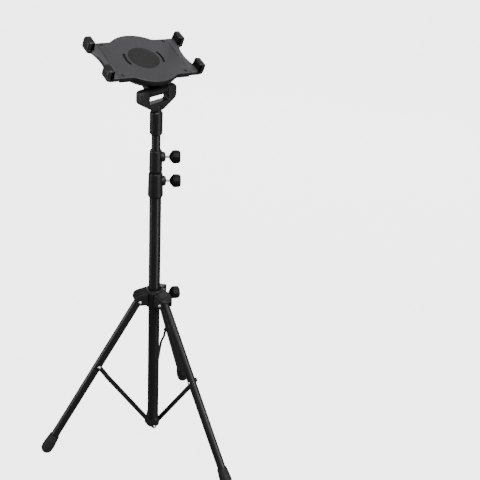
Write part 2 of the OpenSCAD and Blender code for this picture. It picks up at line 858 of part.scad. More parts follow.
module front_plate() {
    color("gray") plate_frame() difference() {
        translate([0, 0, -shell_t]) linear_extrude(shell_t) plate_outline(0, plate_w / 2);
        translate([0, 0, -shell_t - 1]) linear_extrude(shell_t - face_t + 1)
            plate_outline(skirt_t, plate_w / 2 + 1);
        translate([0, 0, -pad_sink]) cylinder(h = SPAN, d = pad_d + 2 * seat);
        for (side = [0, 180]) rotate([0, 0, side])
            translate([0, 0, -face_t - 1]) linear_extrude(SPAN) face_slot();
        at_plate_screws() {
            translate([0, 0, -face_t - 1]) cylinder(h = SPAN, d = plate_screw_d + 2 * seat);
            translate([0, 0, -screw_low - screw_head_h])
                cylinder(h = screw_head_h, d1 = plate_screw_d + 4 * seat, d2 = screw_head_d + 4 * seat);
            translate([0, 0, -screw_low - seat]) cylinder(h = SPAN, d = screw_head_d + 4 * seat);
        }
    }
}

module plate_screws() {
    head_z = -screw_low - screw_head_h;
    cross_len = screw_head_d / 2;
    color("black") plate_frame() at_plate_screws() difference() {
        rotate_extrude() polygon([
            [0, -plate_t + screw_end], [plate_screw_d / 2, -plate_t + screw_end], [plate_screw_d / 2, head_z],
            [screw_head_d / 2, -screw_low], [0, -screw_low]
        ]);
        for (turn = [0, 90]) rotate([0, 0, turn])
            translate([-cross_len / 2, -cross_w / 2, head_z + screw_low]) cube([cross_len, cross_w, SPAN]);
    }
}

// Closes the back, and carries the screw posts and the springs' fixed ends
module back_cover() {
    color("dimgray") plate_frame() difference() {
        union() {
            translate([0, 0, -plate_t]) linear_extrude(back_t)
                plate_outline(cover_inset, plate_w / 2 - cover_inset);
            at_plate_screws() translate([0, 0, -shell_t]) cylinder(h = shell_t - face_t - seat, d = post_d);
            for (side = [-1, 1]) translate([side * spring_post_x, side * spring_off, -shell_t])
                cylinder(h = tongue_t, r = spring_post_r);
        }
        at_plate_screws() translate([0, 0, -plate_t + 1]) cylinder(h = SPAN, d = plate_screw_d + 2 * seat);
        translate([0, 0, -SPAN / 2]) cylinder(h = SPAN, d = swivel_d + 2 * fit);
    }
}

module centre_pad() {
    color("black") plate_frame() translate([0, 0, -pad_sink]) cylinder(h = pad_t, d = pad_d);
}

// Right-hand jaw: bowed end bracket, two claws, and a tongue with two rails that slides in the plate
module jaw() {
    tongue_z = -shell_t + slide_gap;
    waist_x = post_in - jaw_waist;
    half_span = claw_pitch / 2 - claw_w / 2;
    bow_r = (half_span * half_span + jaw_waist * jaw_waist) / (2 * jaw_waist);
    difference() {
        translate([jaw_in, -jaw_h / 2, -shell_t]) cube([post_in - jaw_in, jaw_h, shell_t]);
        translate([waist_x + bow_r, 0, -shell_t - 1]) cylinder(h = shell_t + 2, r = bow_r, $fn = 128);
    }
    for (side = [-1, 1]) translate([0, side * claw_pitch / 2, 0]) claw();
    translate([tongue_in, -tongue_h / 2, tongue_z]) cube([jaw_in + 1 - tongue_in, tongue_h, tongue_t]);
    for (side = [-1, 1]) translate([rail_in, side * (tongue_h - rail_w) / 2 - rail_w / 2, tongue_z])
        cube([tongue_in + 1 - rail_in, rail_w, tongue_t]);
}

// Hooked post, round on its outside, drawn from the side and carried across the claw
module claw() {
    lip_x = grip_w / 2 - claw_lip;
    rotate([90, 0, 0]) linear_extrude(claw_w, center = true) polygon(concat(
        [[post_in - jaw_waist, -shell_t]],
        arc(post_out - claw_low_r, -shell_t + claw_low_r, claw_low_r, -90, 0),
        arc(post_out - claw_top_r, claw_top - claw_top_r, claw_top_r, 0, 90),
        arc(lip_x + claw_tip_r, claw_top - claw_tip_r, claw_tip_r, 90, 180, 4),
        [[lip_x, claw_gap], [post_in, claw_gap], [post_in, 0], [post_in - jaw_waist, 0]]
    ));
}

module right_jaw() {
    color("gray") plate_frame() jaw();
}

module left_jaw() {
    color("gray") plate_frame() rotate([0, 0, 180]) jaw();
}

// Soft linings on the inner faces of a jaw's claws
module claw_linings() {
    lining_w = claw_w - 2 * lining_side;
    for (side = [-1, 1]) translate([grip_w / 2, (side * claw_pitch - lining_w) / 2, lining_gap])
        cube([lining_t, lining_w, claw_gap - 2 * lining_gap]);
}

module right_claw_linings() {
    color("black") plate_frame() claw_linings();
}

module left_claw_linings() {
    color("black") plate_frame() rotate([0, 0, 180]) claw_linings();
}

// Tension spring along X from x0 to x1: one tube on a helix
spring_x0 = -spring_post_x + spring_post_r + 0.3;
spring_x1 = tongue_in - 0.3;
coil_r = spring_r - wire_r;
coil_rings = curls * curl_rings;
function coil_point(i) = [
    spring_x0 + wire_r + (spring_x1 - spring_x0 - 2 * wire_r) * i / coil_rings,
    coil_r * cos(360 * i / curl_rings),
    coil_r * sin(360 * i / curl_rings)
];
function coil_ring(i) =
    let (
        a = 360 * i / curl_rings,
        out = [0, cos(a), sin(a)],
        rise = (spring_x1 - spring_x0) / (curls * 360) * 180 / PI,
        along = [rise, -coil_r * sin(a), coil_r * cos(a)] / norm([rise, coil_r, 0]),
        across = cross(along, out)
    )
    [for (s = [0 : wire_sides - 1])
        coil_point(i) + wire_r * (cos(360 * s / wire_sides) * out + sin(360 * s / wire_sides) * across)];
coil_gap = min([
    for (i = [0 : coil_rings])
        for (j = [i + curl_rings - 2 : min(i + 2 * curl_rings, coil_rings)])
            norm(coil_point(i) - coil_point(j))
]) - 2 * wire_r;
echo(jaw_spring_least_gap = coil_gap);

module jaw_spring() {
    points = [for (i = [0 : coil_rings]) each coil_ring(i)];
    last = coil_rings * wire_sides;
    sides = [
        for (i = [0 : coil_rings - 1])
            for (s = [0 : wire_sides - 1])
                let (
                    a = i * wire_sides + s,
                    b = i * wire_sides + (s + 1) % wire_sides
                )
                each [[a, b, a + wire_sides], [b, b + wire_sides, a + wire_sides]]
    ];
    caps = [
        for (s = [1 : wire_sides - 2])
            each [[0, s + 1, s], [last, last + s, last + s + 1]]
    ];
    translate([0, -spring_off, -shell_t + slide_gap + tongue_t / 2]) polyhedron(points, concat(sides, caps));
}

module right_jaw_spring() {
    color("silver") plate_frame() jaw_spring();
}

module left_jaw_spring() {
    color("silver") plate_frame() rotate([0, 0, 180]) jaw_spring();
}

base_hub();
base_rivets();
lower_tube();
lower_collar();
lower_clamp_nut();
lower_clamp_screw();
lower_clamp_knob();
mid_tube();
mid_bush();
upper_collar();
upper_clamp_nut();
upper_clamp_screw();
upper_clamp_knob();
top_tube();
top_bush();
head_socket();
socket_screw();
head_stem();
yoke();
hinge_pin();
swivel_dish();
swivel_bolt();
back_cover();
front_plate();
centre_pad();
plate_screws();
left_jaw();
right_jaw();
left_claw_linings();
right_claw_linings();
left_jaw_spring();
right_jaw_spring();
leg_hub();
hub_rivets();
hub_clamp_nut();
hub_clamp_screw();
hub_clamp_knob();
leg_tube(1);  // leg_tube_1
leg_tube(2);  // leg_tube_2
leg_tube(3);  // leg_tube_3
foot(1);  // foot_1
foot(2);  // foot_2
foot(3);  // foot_3
brace(1);  // brace_1
brace(2);  // brace_2
brace(3);  // brace_3
brace_rivet(1);  // brace_rivet_1
brace_rivet(2);  // brace_rivet_2
brace_rivet(3);  // brace_rivet_3
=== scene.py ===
"""Looks of the tablet floor stand.

Moulded skins, rubber, coated tubes and bright fasteners on the CAD bodies, with the studio and the camera.
"""

import json
import logging
import math
from collections.abc import Sequence
from dataclasses import dataclass
from enum import Enum
from typing import Any

import bmesh
import bpy
import numpy as np
from mathutils import Matrix, Vector
from numpy.typing import NDArray

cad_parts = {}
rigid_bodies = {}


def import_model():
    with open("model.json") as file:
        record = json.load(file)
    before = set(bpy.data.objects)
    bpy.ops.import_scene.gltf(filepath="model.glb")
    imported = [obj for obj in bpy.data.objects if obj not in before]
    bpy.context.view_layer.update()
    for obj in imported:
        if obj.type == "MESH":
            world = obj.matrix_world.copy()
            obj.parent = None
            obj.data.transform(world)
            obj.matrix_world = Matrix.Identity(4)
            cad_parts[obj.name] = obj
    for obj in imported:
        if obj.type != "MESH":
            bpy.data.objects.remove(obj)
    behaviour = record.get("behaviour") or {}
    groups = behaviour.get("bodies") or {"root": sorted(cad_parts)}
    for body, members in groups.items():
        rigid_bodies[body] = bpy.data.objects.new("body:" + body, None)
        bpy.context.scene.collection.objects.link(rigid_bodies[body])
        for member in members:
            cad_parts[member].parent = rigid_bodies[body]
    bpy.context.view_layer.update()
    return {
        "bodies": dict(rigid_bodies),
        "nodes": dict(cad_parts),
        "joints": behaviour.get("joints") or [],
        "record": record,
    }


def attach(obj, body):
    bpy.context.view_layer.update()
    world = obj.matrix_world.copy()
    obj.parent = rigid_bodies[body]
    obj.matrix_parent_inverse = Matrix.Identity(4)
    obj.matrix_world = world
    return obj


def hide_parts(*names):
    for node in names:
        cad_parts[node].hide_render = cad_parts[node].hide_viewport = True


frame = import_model()

Array = NDArray[np.float64]
Index = NDArray[np.int64]
Triple = tuple[float, float, float]
Material = bpy.types.Material

LOG = logging.getLogger("stand")
MM = 0.001
LEGS = (1, 2, 3)
CLAMPS = ("lower", "upper", "hub")
BOTH_SIDES = (-1, 1)
UP = np.array([0.0, 0.0, 1.0])
EVEN = (1.0, 1.0, 1.0)
FULL_TURN = 2 * math.pi
SMOOTH_ANGLE = math.radians(38.0)
MERGE = 1e-6
SAME_POINT = 1e-5
TINY = 1e-9


class Slot(Enum):
    """Material slots of the record."""

    COATED = "black_steel"
    MOULDED = "black_plastic"
    GREY = "grey_plastic"
    RUBBER = "rubber"
    BRIGHT = "bright_steel"
    DARK = "dark_steel"
    WHITE = "white_plastic"


class Side(Enum):
    """The two jaws, by the sign of their place across the plate."""

    LEFT = -1
    RIGHT = 1


# Shader graphs


class Wire:
    """A socket in a shader graph, with arithmetic that adds Math nodes."""

    def __init__(self, graph: "Graph", socket: bpy.types.NodeSocket) -> None:
        """Keeps the graph and the socket."""
        self.graph = graph
        self.socket = socket

    def _math(self, operation: str, first: Any, second: Any) -> "Wire":
        """Result of a Math node on two values or wires."""
        return self.graph.node("ShaderNodeMath", {0: first, 1: second}, operation=operation)

    def __add__(self, other: Any) -> "Wire":
        """Sum."""
        return self._math("ADD", self, other)

    def __radd__(self, other: Any) -> "Wire":
        """Sum with a number on the left."""
        return self._math("ADD", other, self)

    def __sub__(self, other: Any) -> "Wire":
        """Difference."""
        return self._math("SUBTRACT", self, other)

    def __rsub__(self, other: Any) -> "Wire":
        """Difference with a number on the left."""
        return self._math("SUBTRACT", other, self)

    def __mul__(self, other: Any) -> "Wire":
        """Product."""
        return self._math("MULTIPLY", self, other)

    def __rmul__(self, other: Any) -> "Wire":
        """Product with a number on the left."""
        return self._math("MULTIPLY", other, self)

    def __abs__(self) -> "Wire":
        """Size without its sign."""
        return self._math("ABSOLUTE", self, 0.0)

    def ramp(self, low: float, high: float) -> "Wire":
        """Smooth step from 0 where this value is low to 1 where it is high."""
        inputs = {"Value": self, "From Min": low, "From Max": high}
        return self.graph.node("ShaderNodeMapRange", inputs, interpolation_type="SMOOTHSTEP")


class Graph:
    """The node tree of one material, filled through one method."""

    def __init__(self, name: str) -> None:
        """Makes a material that holds only a principled shader.

        Args:
            name: The material's name.
        """
        self.material = bpy.data.materials.new(name)
        self.material.use_nodes = True
        self.nodes = self.material.node_tree.nodes
        self.links = self.material.node_tree.links
        self.shader = self.nodes["Principled BSDF"]

    def node(self, kind: str, inputs: dict[Any, Any], out: Any = 0, **settings: Any) -> Wire:
        """Adds a node.

        Args:
            kind: The node's type.
            inputs: Value or wire of each socket, by name or index.
            out: Name or index of the output that is wanted.
            **settings: Properties that are set before the sockets.

        Returns:
            The wanted output.
        """
        made = self.nodes.new(kind)
        for key, value in settings.items():
            setattr(made, key, value)
        for key, value in inputs.items():
            self.put(made.inputs[key], value)
        return Wire(self, made.outputs[out])

    def put(self, socket: bpy.types.NodeSocket, value: Any) -> None:
        """Links a wire to a socket, or sets a plain value on it.

        Args:
            socket: The socket to feed.
            value: A wire, a number or a tuple.
        """
        if isinstance(value, Wire):
            self.links.new(value.socket, socket)
        else:
            socket.default_value = value

    def principled(self, **inputs: Any) -> None:
        """Feeds the principled shader; a socket's spaces are written as underscores."""
        for key, value in inputs.items():
            self.put(self.shader.inputs[key.replace("_", " ")], value)

    def place(self, stretch: Triple = EVEN) -> Wire:
        """Object coordinates, stretched along the axes.

        Args:
            stretch: Factor on each axis.

        Returns:
            The coordinates as a vector.
        """
        spot = self.node("ShaderNodeTexCoord", {}, out="Object")
        if stretch == EVEN:
            return spot
        return self.node("ShaderNodeMapping", {"Vector": spot, "Scale": stretch})

    def height(self) -> Wire:
        """The Z of the Object coordinates, in metres."""
        return self.node("ShaderNodeSeparateXYZ", {0: self.place()}, out="Z")

    def mix(self, share: Wire, low: Any, high: Any) -> Wire:
        """Colour between low at 0 and high at 1, each a wire or four numbers."""
        return self.node("ShaderNodeMix", {0: share, 6: low, 7: high}, out=2, data_type="RGBA")

    def tones(self, share: Wire, colour: Triple, low: float, high: float) -> Wire:
        """Colour between a low and a high tint of one colour."""
        return self.mix(share, tint(colour, low), tint(colour, high))

    def bump(self, height: Wire, depth: float, strength: float) -> Wire:
        """Normal bent by a height from 0 to 1 over a real depth in metres, by a share of its strength."""
        return self.node("ShaderNodeBump", {"Strength": strength, "Distance": depth, "Height": height})


def tint(colour: Triple, factor: float) -> tuple[float, float, float, float]:
    """The colour made lighter or darker by a factor, with a full alpha."""
    return (colour[0] * factor, colour[1] * factor, colour[2] * factor, 1.0)


# Finishes


@dataclass(frozen=True)
class Noise:
    """A noise on Object coordinates, in waves per metre; a band keeps only its high values."""

    scale: float
    detail: float = 2.0
    rough: float = 0.5
    band: tuple[float, float] | None = None
    stretch: Triple = EVEN

    def on(self, g: Graph) -> Wire:
        """Adds the noise to a graph.

        Args:
            g: The graph.

        Returns:
            A value about 0.5 or, where there is a band, one that climbs from 0 to 1 across it.
        """
        inputs = {"Scale": self.scale, "Detail": self.detail, "Roughness": self.rough}
        value = g.node("ShaderNodeTexNoise", {"Vector": g.place(self.stretch), **inputs})
        return value.ramp(*self.band) if self.band else value


@dataclass(frozen=True)
class PowderCoat:
    """Satin black coating on steel: orange peel, faint clouds, fine rubs along the tubes, a little dust."""

    name: str = "powder_coat"
    colour: Triple = (0.0058, 0.0058, 0.0064)
    roughness: float = 0.33
    shine: float = 0.5
    relief: float = 0.00012
    cloud: Noise = Noise(14.0, 3.0)
    rubs: Noise = Noise(900.0, 2.0, 0.6, (0.62, 0.78), (1.0, 1.0, 0.02))
    dust: Noise = Noise(210.0, 5.0, 0.7, (0.56, 0.82))
    peel: Noise = Noise(850.0)

    def build(self) -> Material:
        """Makes the material.

        Returns:
            The coated-steel material.
        """
        g = Graph(self.name)
        cloud, rubs, dust = self.cloud.on(g), self.rubs.on(g), self.dust.on(g)
        g.principled(
            Base_Color=g.tones(cloud * 0.7 + dust * 0.35, self.colour, 0.85, 1.75),
            Roughness=self.roughness + (cloud - 0.5) * 0.18 + dust * 0.1 - rubs * 0.06,
            Normal=g.bump(self.peel.on(g) + rubs * 0.2, self.relief, 0.3),
            Specular_IOR_Level=self.shine,
        )
        return g.material


@dataclass(frozen=True)
class OffPlaneShade:
    """Painted shade on a moulding: what lies off its flat face's plane, such as a slot, an edge or a wall,
    is painted darker, as if in shade.
    """

    middle: Triple
    normal: Triple
    # Colour factor of the painted shade off the plane.
    shade: float
    dulling: float
    depth: float = 0.0012
    start: float = 0.2

    def off(self, g: Graph) -> Wire:
        """How far a point lies off the plane, which sets the share of painted shade.

        Args:
            g: The graph that reads it.

        Returns:
            0 on the face, 1 at the depth and beyond.
        """
        spot = g.node("ShaderNodeVectorMath", {0: g.place(), 1: self.middle}, operation="SUBTRACT")
        sides = {0: spot, 1: self.normal}
        rise = g.node("ShaderNodeVectorMath", sides, out="Value", operation="DOT_PRODUCT")
        return abs(rise).ramp(self.start * self.depth, self.depth)


@dataclass(frozen=True)
class MouldedPlastic:
    """A moulding with a spark-eroded grain, flow clouds and lighter scuffed specks, and painted shade off
    its flat face where one is given.
    """

    name: str
    colour: Triple
    roughness: float
    shine: float = 0.3
    # Flat face whose off-plane parts get painted shade.
    face: OffPlaneShade | None = None
    relief: float = 0.00012
    grain: Noise = Noise(1500.0, 3.0, 0.62)
    cloud: Noise = Noise(22.0, 3.0)
    scuff: Noise = Noise(340.0, 6.0, 0.75, (0.6, 0.84))

    def build(self) -> Material:
        """Makes the material.

        Returns:
            The moulded-plastic material.
        """
        g = Graph(self.name)
        grain, cloud, scuff = self.grain.on(g), self.cloud.on(g), self.scuff.on(g)
        shade = g.tones(cloud * 0.55 + scuff * 0.4 + grain * 0.2, self.colour, 0.8, 1.32)
        rough = self.roughness + (cloud - 0.5) * 0.12 + (grain - 0.5) * 0.14 + scuff * 0.06
        # Painted shade: what lies off the face's plane takes a darker tint of the colour.
        if self.face:
            off = self.face.off(g)
            shade = g.mix(off, shade, tint(self.colour, self.face.shade))
            rough = rough + off * self.face.dulling
        g.principled(
            Base_Color=shade,
            Roughness=rough,
            Normal=g.bump(grain, self.relief, 0.55),
            Specular_IOR_Level=self.shine,
        )
        return g.material


@dataclass(frozen=True)
class Rubber:
    """Dull rubber with a soft grain, dusty near the floor, or all over where no height is given."""

    name: str = "rubber"
    colour: Triple = (0.0052, 0.0051, 0.0052)
    dusty_below: float | None = 0.016
    contrast: float = 3.2
    roughness: float = 0.7
    shine: float = 0.35
    relief: float = 0.00015
    grain: Noise = Noise(1100.0, 4.0, 0.65)
    cloud: Noise = Noise(60.0, 4.0)
    dust: Noise = Noise(420.0, 5.0, 0.7, (0.4, 0.75))

    def build(self) -> Material:
        """Makes the material.

        Returns:
            The rubber material.
        """
        g = Graph(self.name)
        cloud, dust = self.cloud.on(g), self.dust.on(g)
        if self.dusty_below:
            dust = (1.0 - g.height().ramp(0.0, self.dusty_below)) * dust
        g.principled(
            Base_Color=g.tones(cloud * 0.3 + dust * 0.6, self.colour, 0.85, self.contrast),
            Roughness=self.roughness + (cloud - 0.5) * 0.2 + dust * 0.15,
            Normal=g.bump(self.grain.on(g), self.relief, 0.5),
            Specular_IOR_Level=self.shine,
        )
        return g.material


@dataclass(frozen=True)
class PlatedSteel:
    """Plated steel: fine turning marks, clouded plating and specks of tarnish."""

    name: str
    colour: Triple
    roughness: float
    relief: float = 0.00005
    marks: Noise = Noise(2600.0, 3.0, 0.6, None, (1.0, 1.0, 0.12))
    cloud: Noise = Noise(160.0, 4.0)
    tarnish: Noise = Noise(700.0, 5.0, 0.7, (0.6, 0.8))

    def build(self) -> Material:
        """Makes the material.

        Returns:
            The plated-steel material.
        """
        g = Graph(self.name)
        marks, cloud, tarnish = self.marks.on(g), self.cloud.on(g), self.tarnish.on(g)
        g.principled(
            Base_Color=g.tones(cloud * 0.5 + tarnish * 0.5, self.colour, 1.08, 0.66),
            Metallic=1.0,
            Roughness=self.roughness + (cloud - 0.5) * 0.14 + tarnish * 0.2 + (marks - 0.5) * 0.08,
            Normal=g.bump(marks, self.relief, 0.35),
        )
        return g.material


@dataclass(frozen=True)
class FloorPaint:
    """Pale matt floor, hardly uneven, that glows like a light table."""

    name: str = "floor_paint"
    colour: Triple = (0.22, 0.22, 0.22)
    glow: float = 3.8
    cloud: Noise = Noise(1.6, 3.0)

    def build(self) -> Material:
        """Makes the material.

        Returns:
            The floor material.
        """
        g = Graph(self.name)
        cloud = self.cloud.on(g)
        g.principled(
            Base_Color=g.tones(cloud, self.colour, 0.99, 1.01),
            Roughness=0.85 + (cloud - 0.5) * 0.1,
            Specular_IOR_Level=0.2,
            Emission_Color=(1.0, 1.0, 1.0, 1.0),
            Emission_Strength=self.glow,
        )
        return g.material


@dataclass(frozen=True)
class Finishes:
    """Every finish, built once: one for each slot of the record, and those of single pieces."""

    slots: dict[Slot, Material]
    plate: Material
    jaw: Material
    knob: Material
    pad: Material

    @classmethod
    def build(cls, holder: "Pose") -> "Finishes":
        """Builds all the materials.

        Args:
            holder: Middle of the plate's face, with Z out of it.

        Returns:
            The finishes.
        """
        grey = (0.0420, 0.0412, 0.0440)
        slots = {
            Slot.COATED: PowderCoat().build(),
            Slot.MOULDED: MouldedPlastic("moulded_black", (0.0080, 0.0079, 0.0082), 0.42).build(),
            Slot.GREY: MouldedPlastic("moulded_grey", grey, 0.48, 0.4).build(),
            Slot.RUBBER: Rubber().build(),
            Slot.BRIGHT: PlatedSteel("plated_bright", (0.74, 0.73, 0.71), 0.3).build(),
            Slot.DARK: PlatedSteel("blackened_steel", (0.04, 0.04, 0.042), 0.42).build(),
            Slot.WHITE: MouldedPlastic("moulded_white", (0.7, 0.7, 0.68), 0.5).build(),
        }
        plane = (tuple(holder.origin.tolist()), tuple(holder.axes[:, 2].tolist()))
        # Painted shade: the plate's slots, round edges and skirt, which lie off its face, are painted
        # nearly black.
        plate_face = OffPlaneShade(*plane, shade=0.05, dulling=0.2)
        # Painted shade on the jaws' walls and seam off the face; the claws take the same darker, glossier
        # tint as their own moulding.
        jaw_painted_shade = OffPlaneShade(*plane, shade=0.3, dulling=-0.08)
        return cls(
            slots,
            plate=MouldedPlastic("moulded_plate", grey, 0.48, 0.4, plate_face).build(),
            # The jaws' grey is a lighter copy of the plate's: painted light caught on the flange's top.
            jaw=MouldedPlastic("moulded_jaw", (0.053, 0.0525, 0.0555), 0.42, 0.5, jaw_painted_shade).build(),
            knob=MouldedPlastic("moulded_dark", (0.0042, 0.0042, 0.0044), 0.46, 0.14).build(),
            pad=Rubber("pad_rubber", (0.0140, 0.0133, 0.0130), None, 1.3).build(),
        )


# Places and surfaces


@dataclass(frozen=True)
class Pose:
    """A place in the shared frame: an origin and three axes, as columns."""

    origin: Array
    axes: Array

    @classmethod
    def along(cls, origin: Array, z: Array, y: Array) -> "Pose":
        """Pose with the given Z, and Y as near to the given one as it can be.

        Args:
            origin: Where it is.
            z: Direction of its Z axis.
            y: A direction that its Y axis leans to.

        Returns:
            The pose.
        """
        up = z / np.linalg.norm(z)
        across = np.cross(y, up)
        across = across / np.linalg.norm(across)
        return cls(origin, np.stack([across, np.cross(up, across), up], axis=1))

    def place(self, local: Array) -> Array:
        """Local points, in metres, carried to the shared frame."""
        return self.origin + local @ self.axes.T

    def local(self, points: Array) -> Array:
        """Points of the shared frame seen from this pose."""
        return (points - self.origin) @ self.axes

    def moved(self, x: float, y: float) -> "Pose":
        """This pose moved along its own X and Y, in millimetres."""
        return Pose(self.place(np.array([x * MM, y * MM, 0.0])), self.axes)

    def turned(self, sign: int) -> "Pose":
        """This pose, or for a sign of -1 the one half a turn round its Z."""
        return Pose(self.origin, self.axes * np.array([sign, sign, 1.0]))

    def sideways(self) -> "Pose":
        """This pose with its Z as Y, so that its XZ plane holds an outline."""
        return Pose(self.origin, self.axes[:, [0, 2, 1]] * np.array([1.0, 1.0, -1.0]))


@dataclass
class Surface:
    """Points in the shared frame, the quads on them, and flat caps with any number of points."""

    points: Array
    quads: Index
    caps: list[Index]

    def __add__(self, other: "Surface") -> "Surface":
        """Both surfaces in one.

        Args:
            other: The surface to add.

        Returns:
            One surface that holds both.
        """
        step = len(self.points)
        points = np.concatenate([self.points, other.points])
        quads = np.concatenate([self.quads, other.quads + step])
        return Surface(points, quads, self.caps + [cap + step for cap in other.caps])


def circle(steps: int) -> Array:
    """Turns of a full circle, without the last that meets the first."""
    return np.linspace(0.0, FULL_TURN, steps, endpoint=False)


def quarter(steps: int) -> Array:
    """Turns of a quarter circle."""
    return np.linspace(0.0, math.pi / 2, steps)


def polar(radius: Array, turn: Array, height: Array) -> Array:
    """Points at a radius, a turn and a height."""
    return np.stack([radius * np.cos(turn), radius * np.sin(turn), height], axis=-1)


def grid(points: Array, loop_rows: bool = False, caps: bool = False) -> Surface:
    """Surface on a grid of points whose columns close into a ring.

    Neighbouring rows and columns make quads. Looped rows join the last to the first, and caps close the
    first and the last row with one flat face each.

    Args:
        points: Array of shape (rows, columns, 3).
        loop_rows: Whether the rows close into a ring too.
        caps: Whether the ends are closed.

    Returns:
        The surface.
    """
    rows, columns = points.shape[:2]
    index = np.arange(rows * columns).reshape(rows, columns)
    ring = np.concatenate([index, index[:, :1]], axis=1)
    if loop_rows:
        ring = np.concatenate([ring, ring[:1]], axis=0)
    quads = np.stack([ring[:-1, :-1], ring[:-1, 1:], ring[1:, 1:], ring[1:, :-1]], axis=-1)
    ends = [index[0, ::-1], index[-1]] if caps else []
    return Surface(points.reshape(-1, 3), quads.reshape(-1, 4), ends)


def rounded(corners: Sequence[Sequence[float]], steps: int = 6, most: float = 0.49) -> Array:
    """Closed outline whose corners are rounded.

    Each corner P with a cut c becomes the curve (1-s)^2 A + 2 s (1-s) P + s^2 B, where A and B lie on the
    two edges at the distance c from P.

    Args:
        corners: Rows of x, y and cut.
        steps: Points on each rounded corner.
        most: Share of its shorter edge that a cut may take.

    Returns:
        Outline points of shape (n, 2).
    """
    table = np.array(corners, float)
    spot, cut = table[:, :2], table[:, 2]
    back, ahead = np.roll(spot, 1, 0) - spot, np.roll(spot, -1, 0) - spot
    room = np.minimum(np.linalg.norm(back, axis=1), np.linalg.norm(ahead, axis=1)) * most
    reach = np.minimum(cut, room)[:, None]
    a = spot + back / np.linalg.norm(back, axis=1, keepdims=True) * reach
    b = spot + ahead / np.linalg.norm(ahead, axis=1, keepdims=True) * reach
    s = np.linspace(0.0, 1.0, steps)[None, :, None]
    curve = (1 - s) ** 2 * a[:, None] + 2 * s * (1 - s) * spot[:, None] + s**2 * b[:, None]
    points = curve.reshape(-1, 2)
    keep = np.linalg.norm(points - np.roll(points, 1, 0), axis=1) > SAME_POINT
    return points[keep]


def edge_levels(low: float, high: float, radius: float, steps: int = 5, inner: float = 1.35) -> Array:
    """Levels of a slab with round edges: pairs of inset and height.

    A quarter circle leads from each flat face to the straight side, and one more level further in keeps
    the face flat.

    Args:
        low: Height of the lower face.
        high: Height of the upper face.
        radius: Radius of the edges.
        steps: Levels on each quarter circle.
        inner: Inset of the level on each face, in radii.

    Returns:
        Array of shape (n, 2).
    """
    turn = quarter(steps)
    inset, rise = radius * (1 - np.sin(turn)), radius * (1 - np.cos(turn))
    lower = np.stack([inset, low + rise], axis=1)
    upper = np.stack([inset[::-1], high - rise[::-1]], axis=1)
    return np.concatenate([[[inner * radius, low]], lower, upper, [[inner * radius, high]]])


def slab(outline: Array, levels: Array, pose: Pose) -> Surface:
    """Outline carried up through levels, drawn in at each level along its corner bisectors.

    Args:
        outline: Closed outline of shape (n, 2), anticlockwise, in millimetres.
        levels: Inset and height of each level, in millimetres.
        pose: Where the outline's plane is.

    Returns:
        A closed surface.
    """
    edge = np.roll(outline, -1, 0) - outline
    edge = edge / np.linalg.norm(edge, axis=1, keepdims=True)
    out = np.stack([edge[:, 1], -edge[:, 0]], axis=1)
    before = np.roll(out, 1, 0)
    lean = (before + out) / (1 + np.sum(before * out, axis=1, keepdims=True))
    flat = outline[None] - levels[:, :1, None] * lean[None]
    tall = np.broadcast_to(levels[:, 1][:, None, None], (*flat.shape[:2], 1))
    return grid(pose.place(np.concatenate([flat, tall], axis=2) * MM), caps=True)


def revolve(profile: Array, pose: Pose, steps: int = 72, closed: bool = False) -> Surface:
    """Profile of radius and height carried round the pose's Z axis.

    Args:
        profile: Radius and height in millimetres: (n, 2), or (n, steps, 2) where the radius varies.
        pose: Its Z is the axis.
        steps: Steps round the axis.
        closed: Whether the profile's end joins its start.

    Returns:
        The surface.
    """
    rows = profile if profile.ndim == 3 else np.repeat(profile[:, None], steps, axis=1)
    return grid(pose.place(polar(rows[..., 0], circle(steps), rows[..., 1]) * MM), loop_rows=closed)


def clean_mesh(name: str, shape: Surface, finish: Material) -> bpy.types.Mesh:
    """Mesh of a surface, with its seams and poles closed and its soft edges smooth.

    Args:
        name: The mesh's name.
        shape: The surface.
        finish: Its material.

    Returns:
        The mesh.
    """
    mesh = bpy.data.meshes.new(name)
    mesh.from_pydata(shape.points.tolist(), [], shape.quads.tolist() + [cap.tolist() for cap in shape.caps])
    work = bmesh.new()
    work.from_mesh(mesh)
    bmesh.ops.remove_doubles(work, verts=work.verts, dist=MERGE)
    bmesh.ops.dissolve_degenerate(work, edges=work.edges, dist=MERGE)
    bmesh.ops.recalc_face_normals(work, faces=work.faces)
    work.to_mesh(mesh)
    work.free()
    mesh.polygons.foreach_set("use_smooth", np.ones(len(mesh.polygons), bool))
    mesh.set_sharp_from_angle(angle=SMOOTH_ANGLE)
    mesh.materials.append(finish)
    return mesh


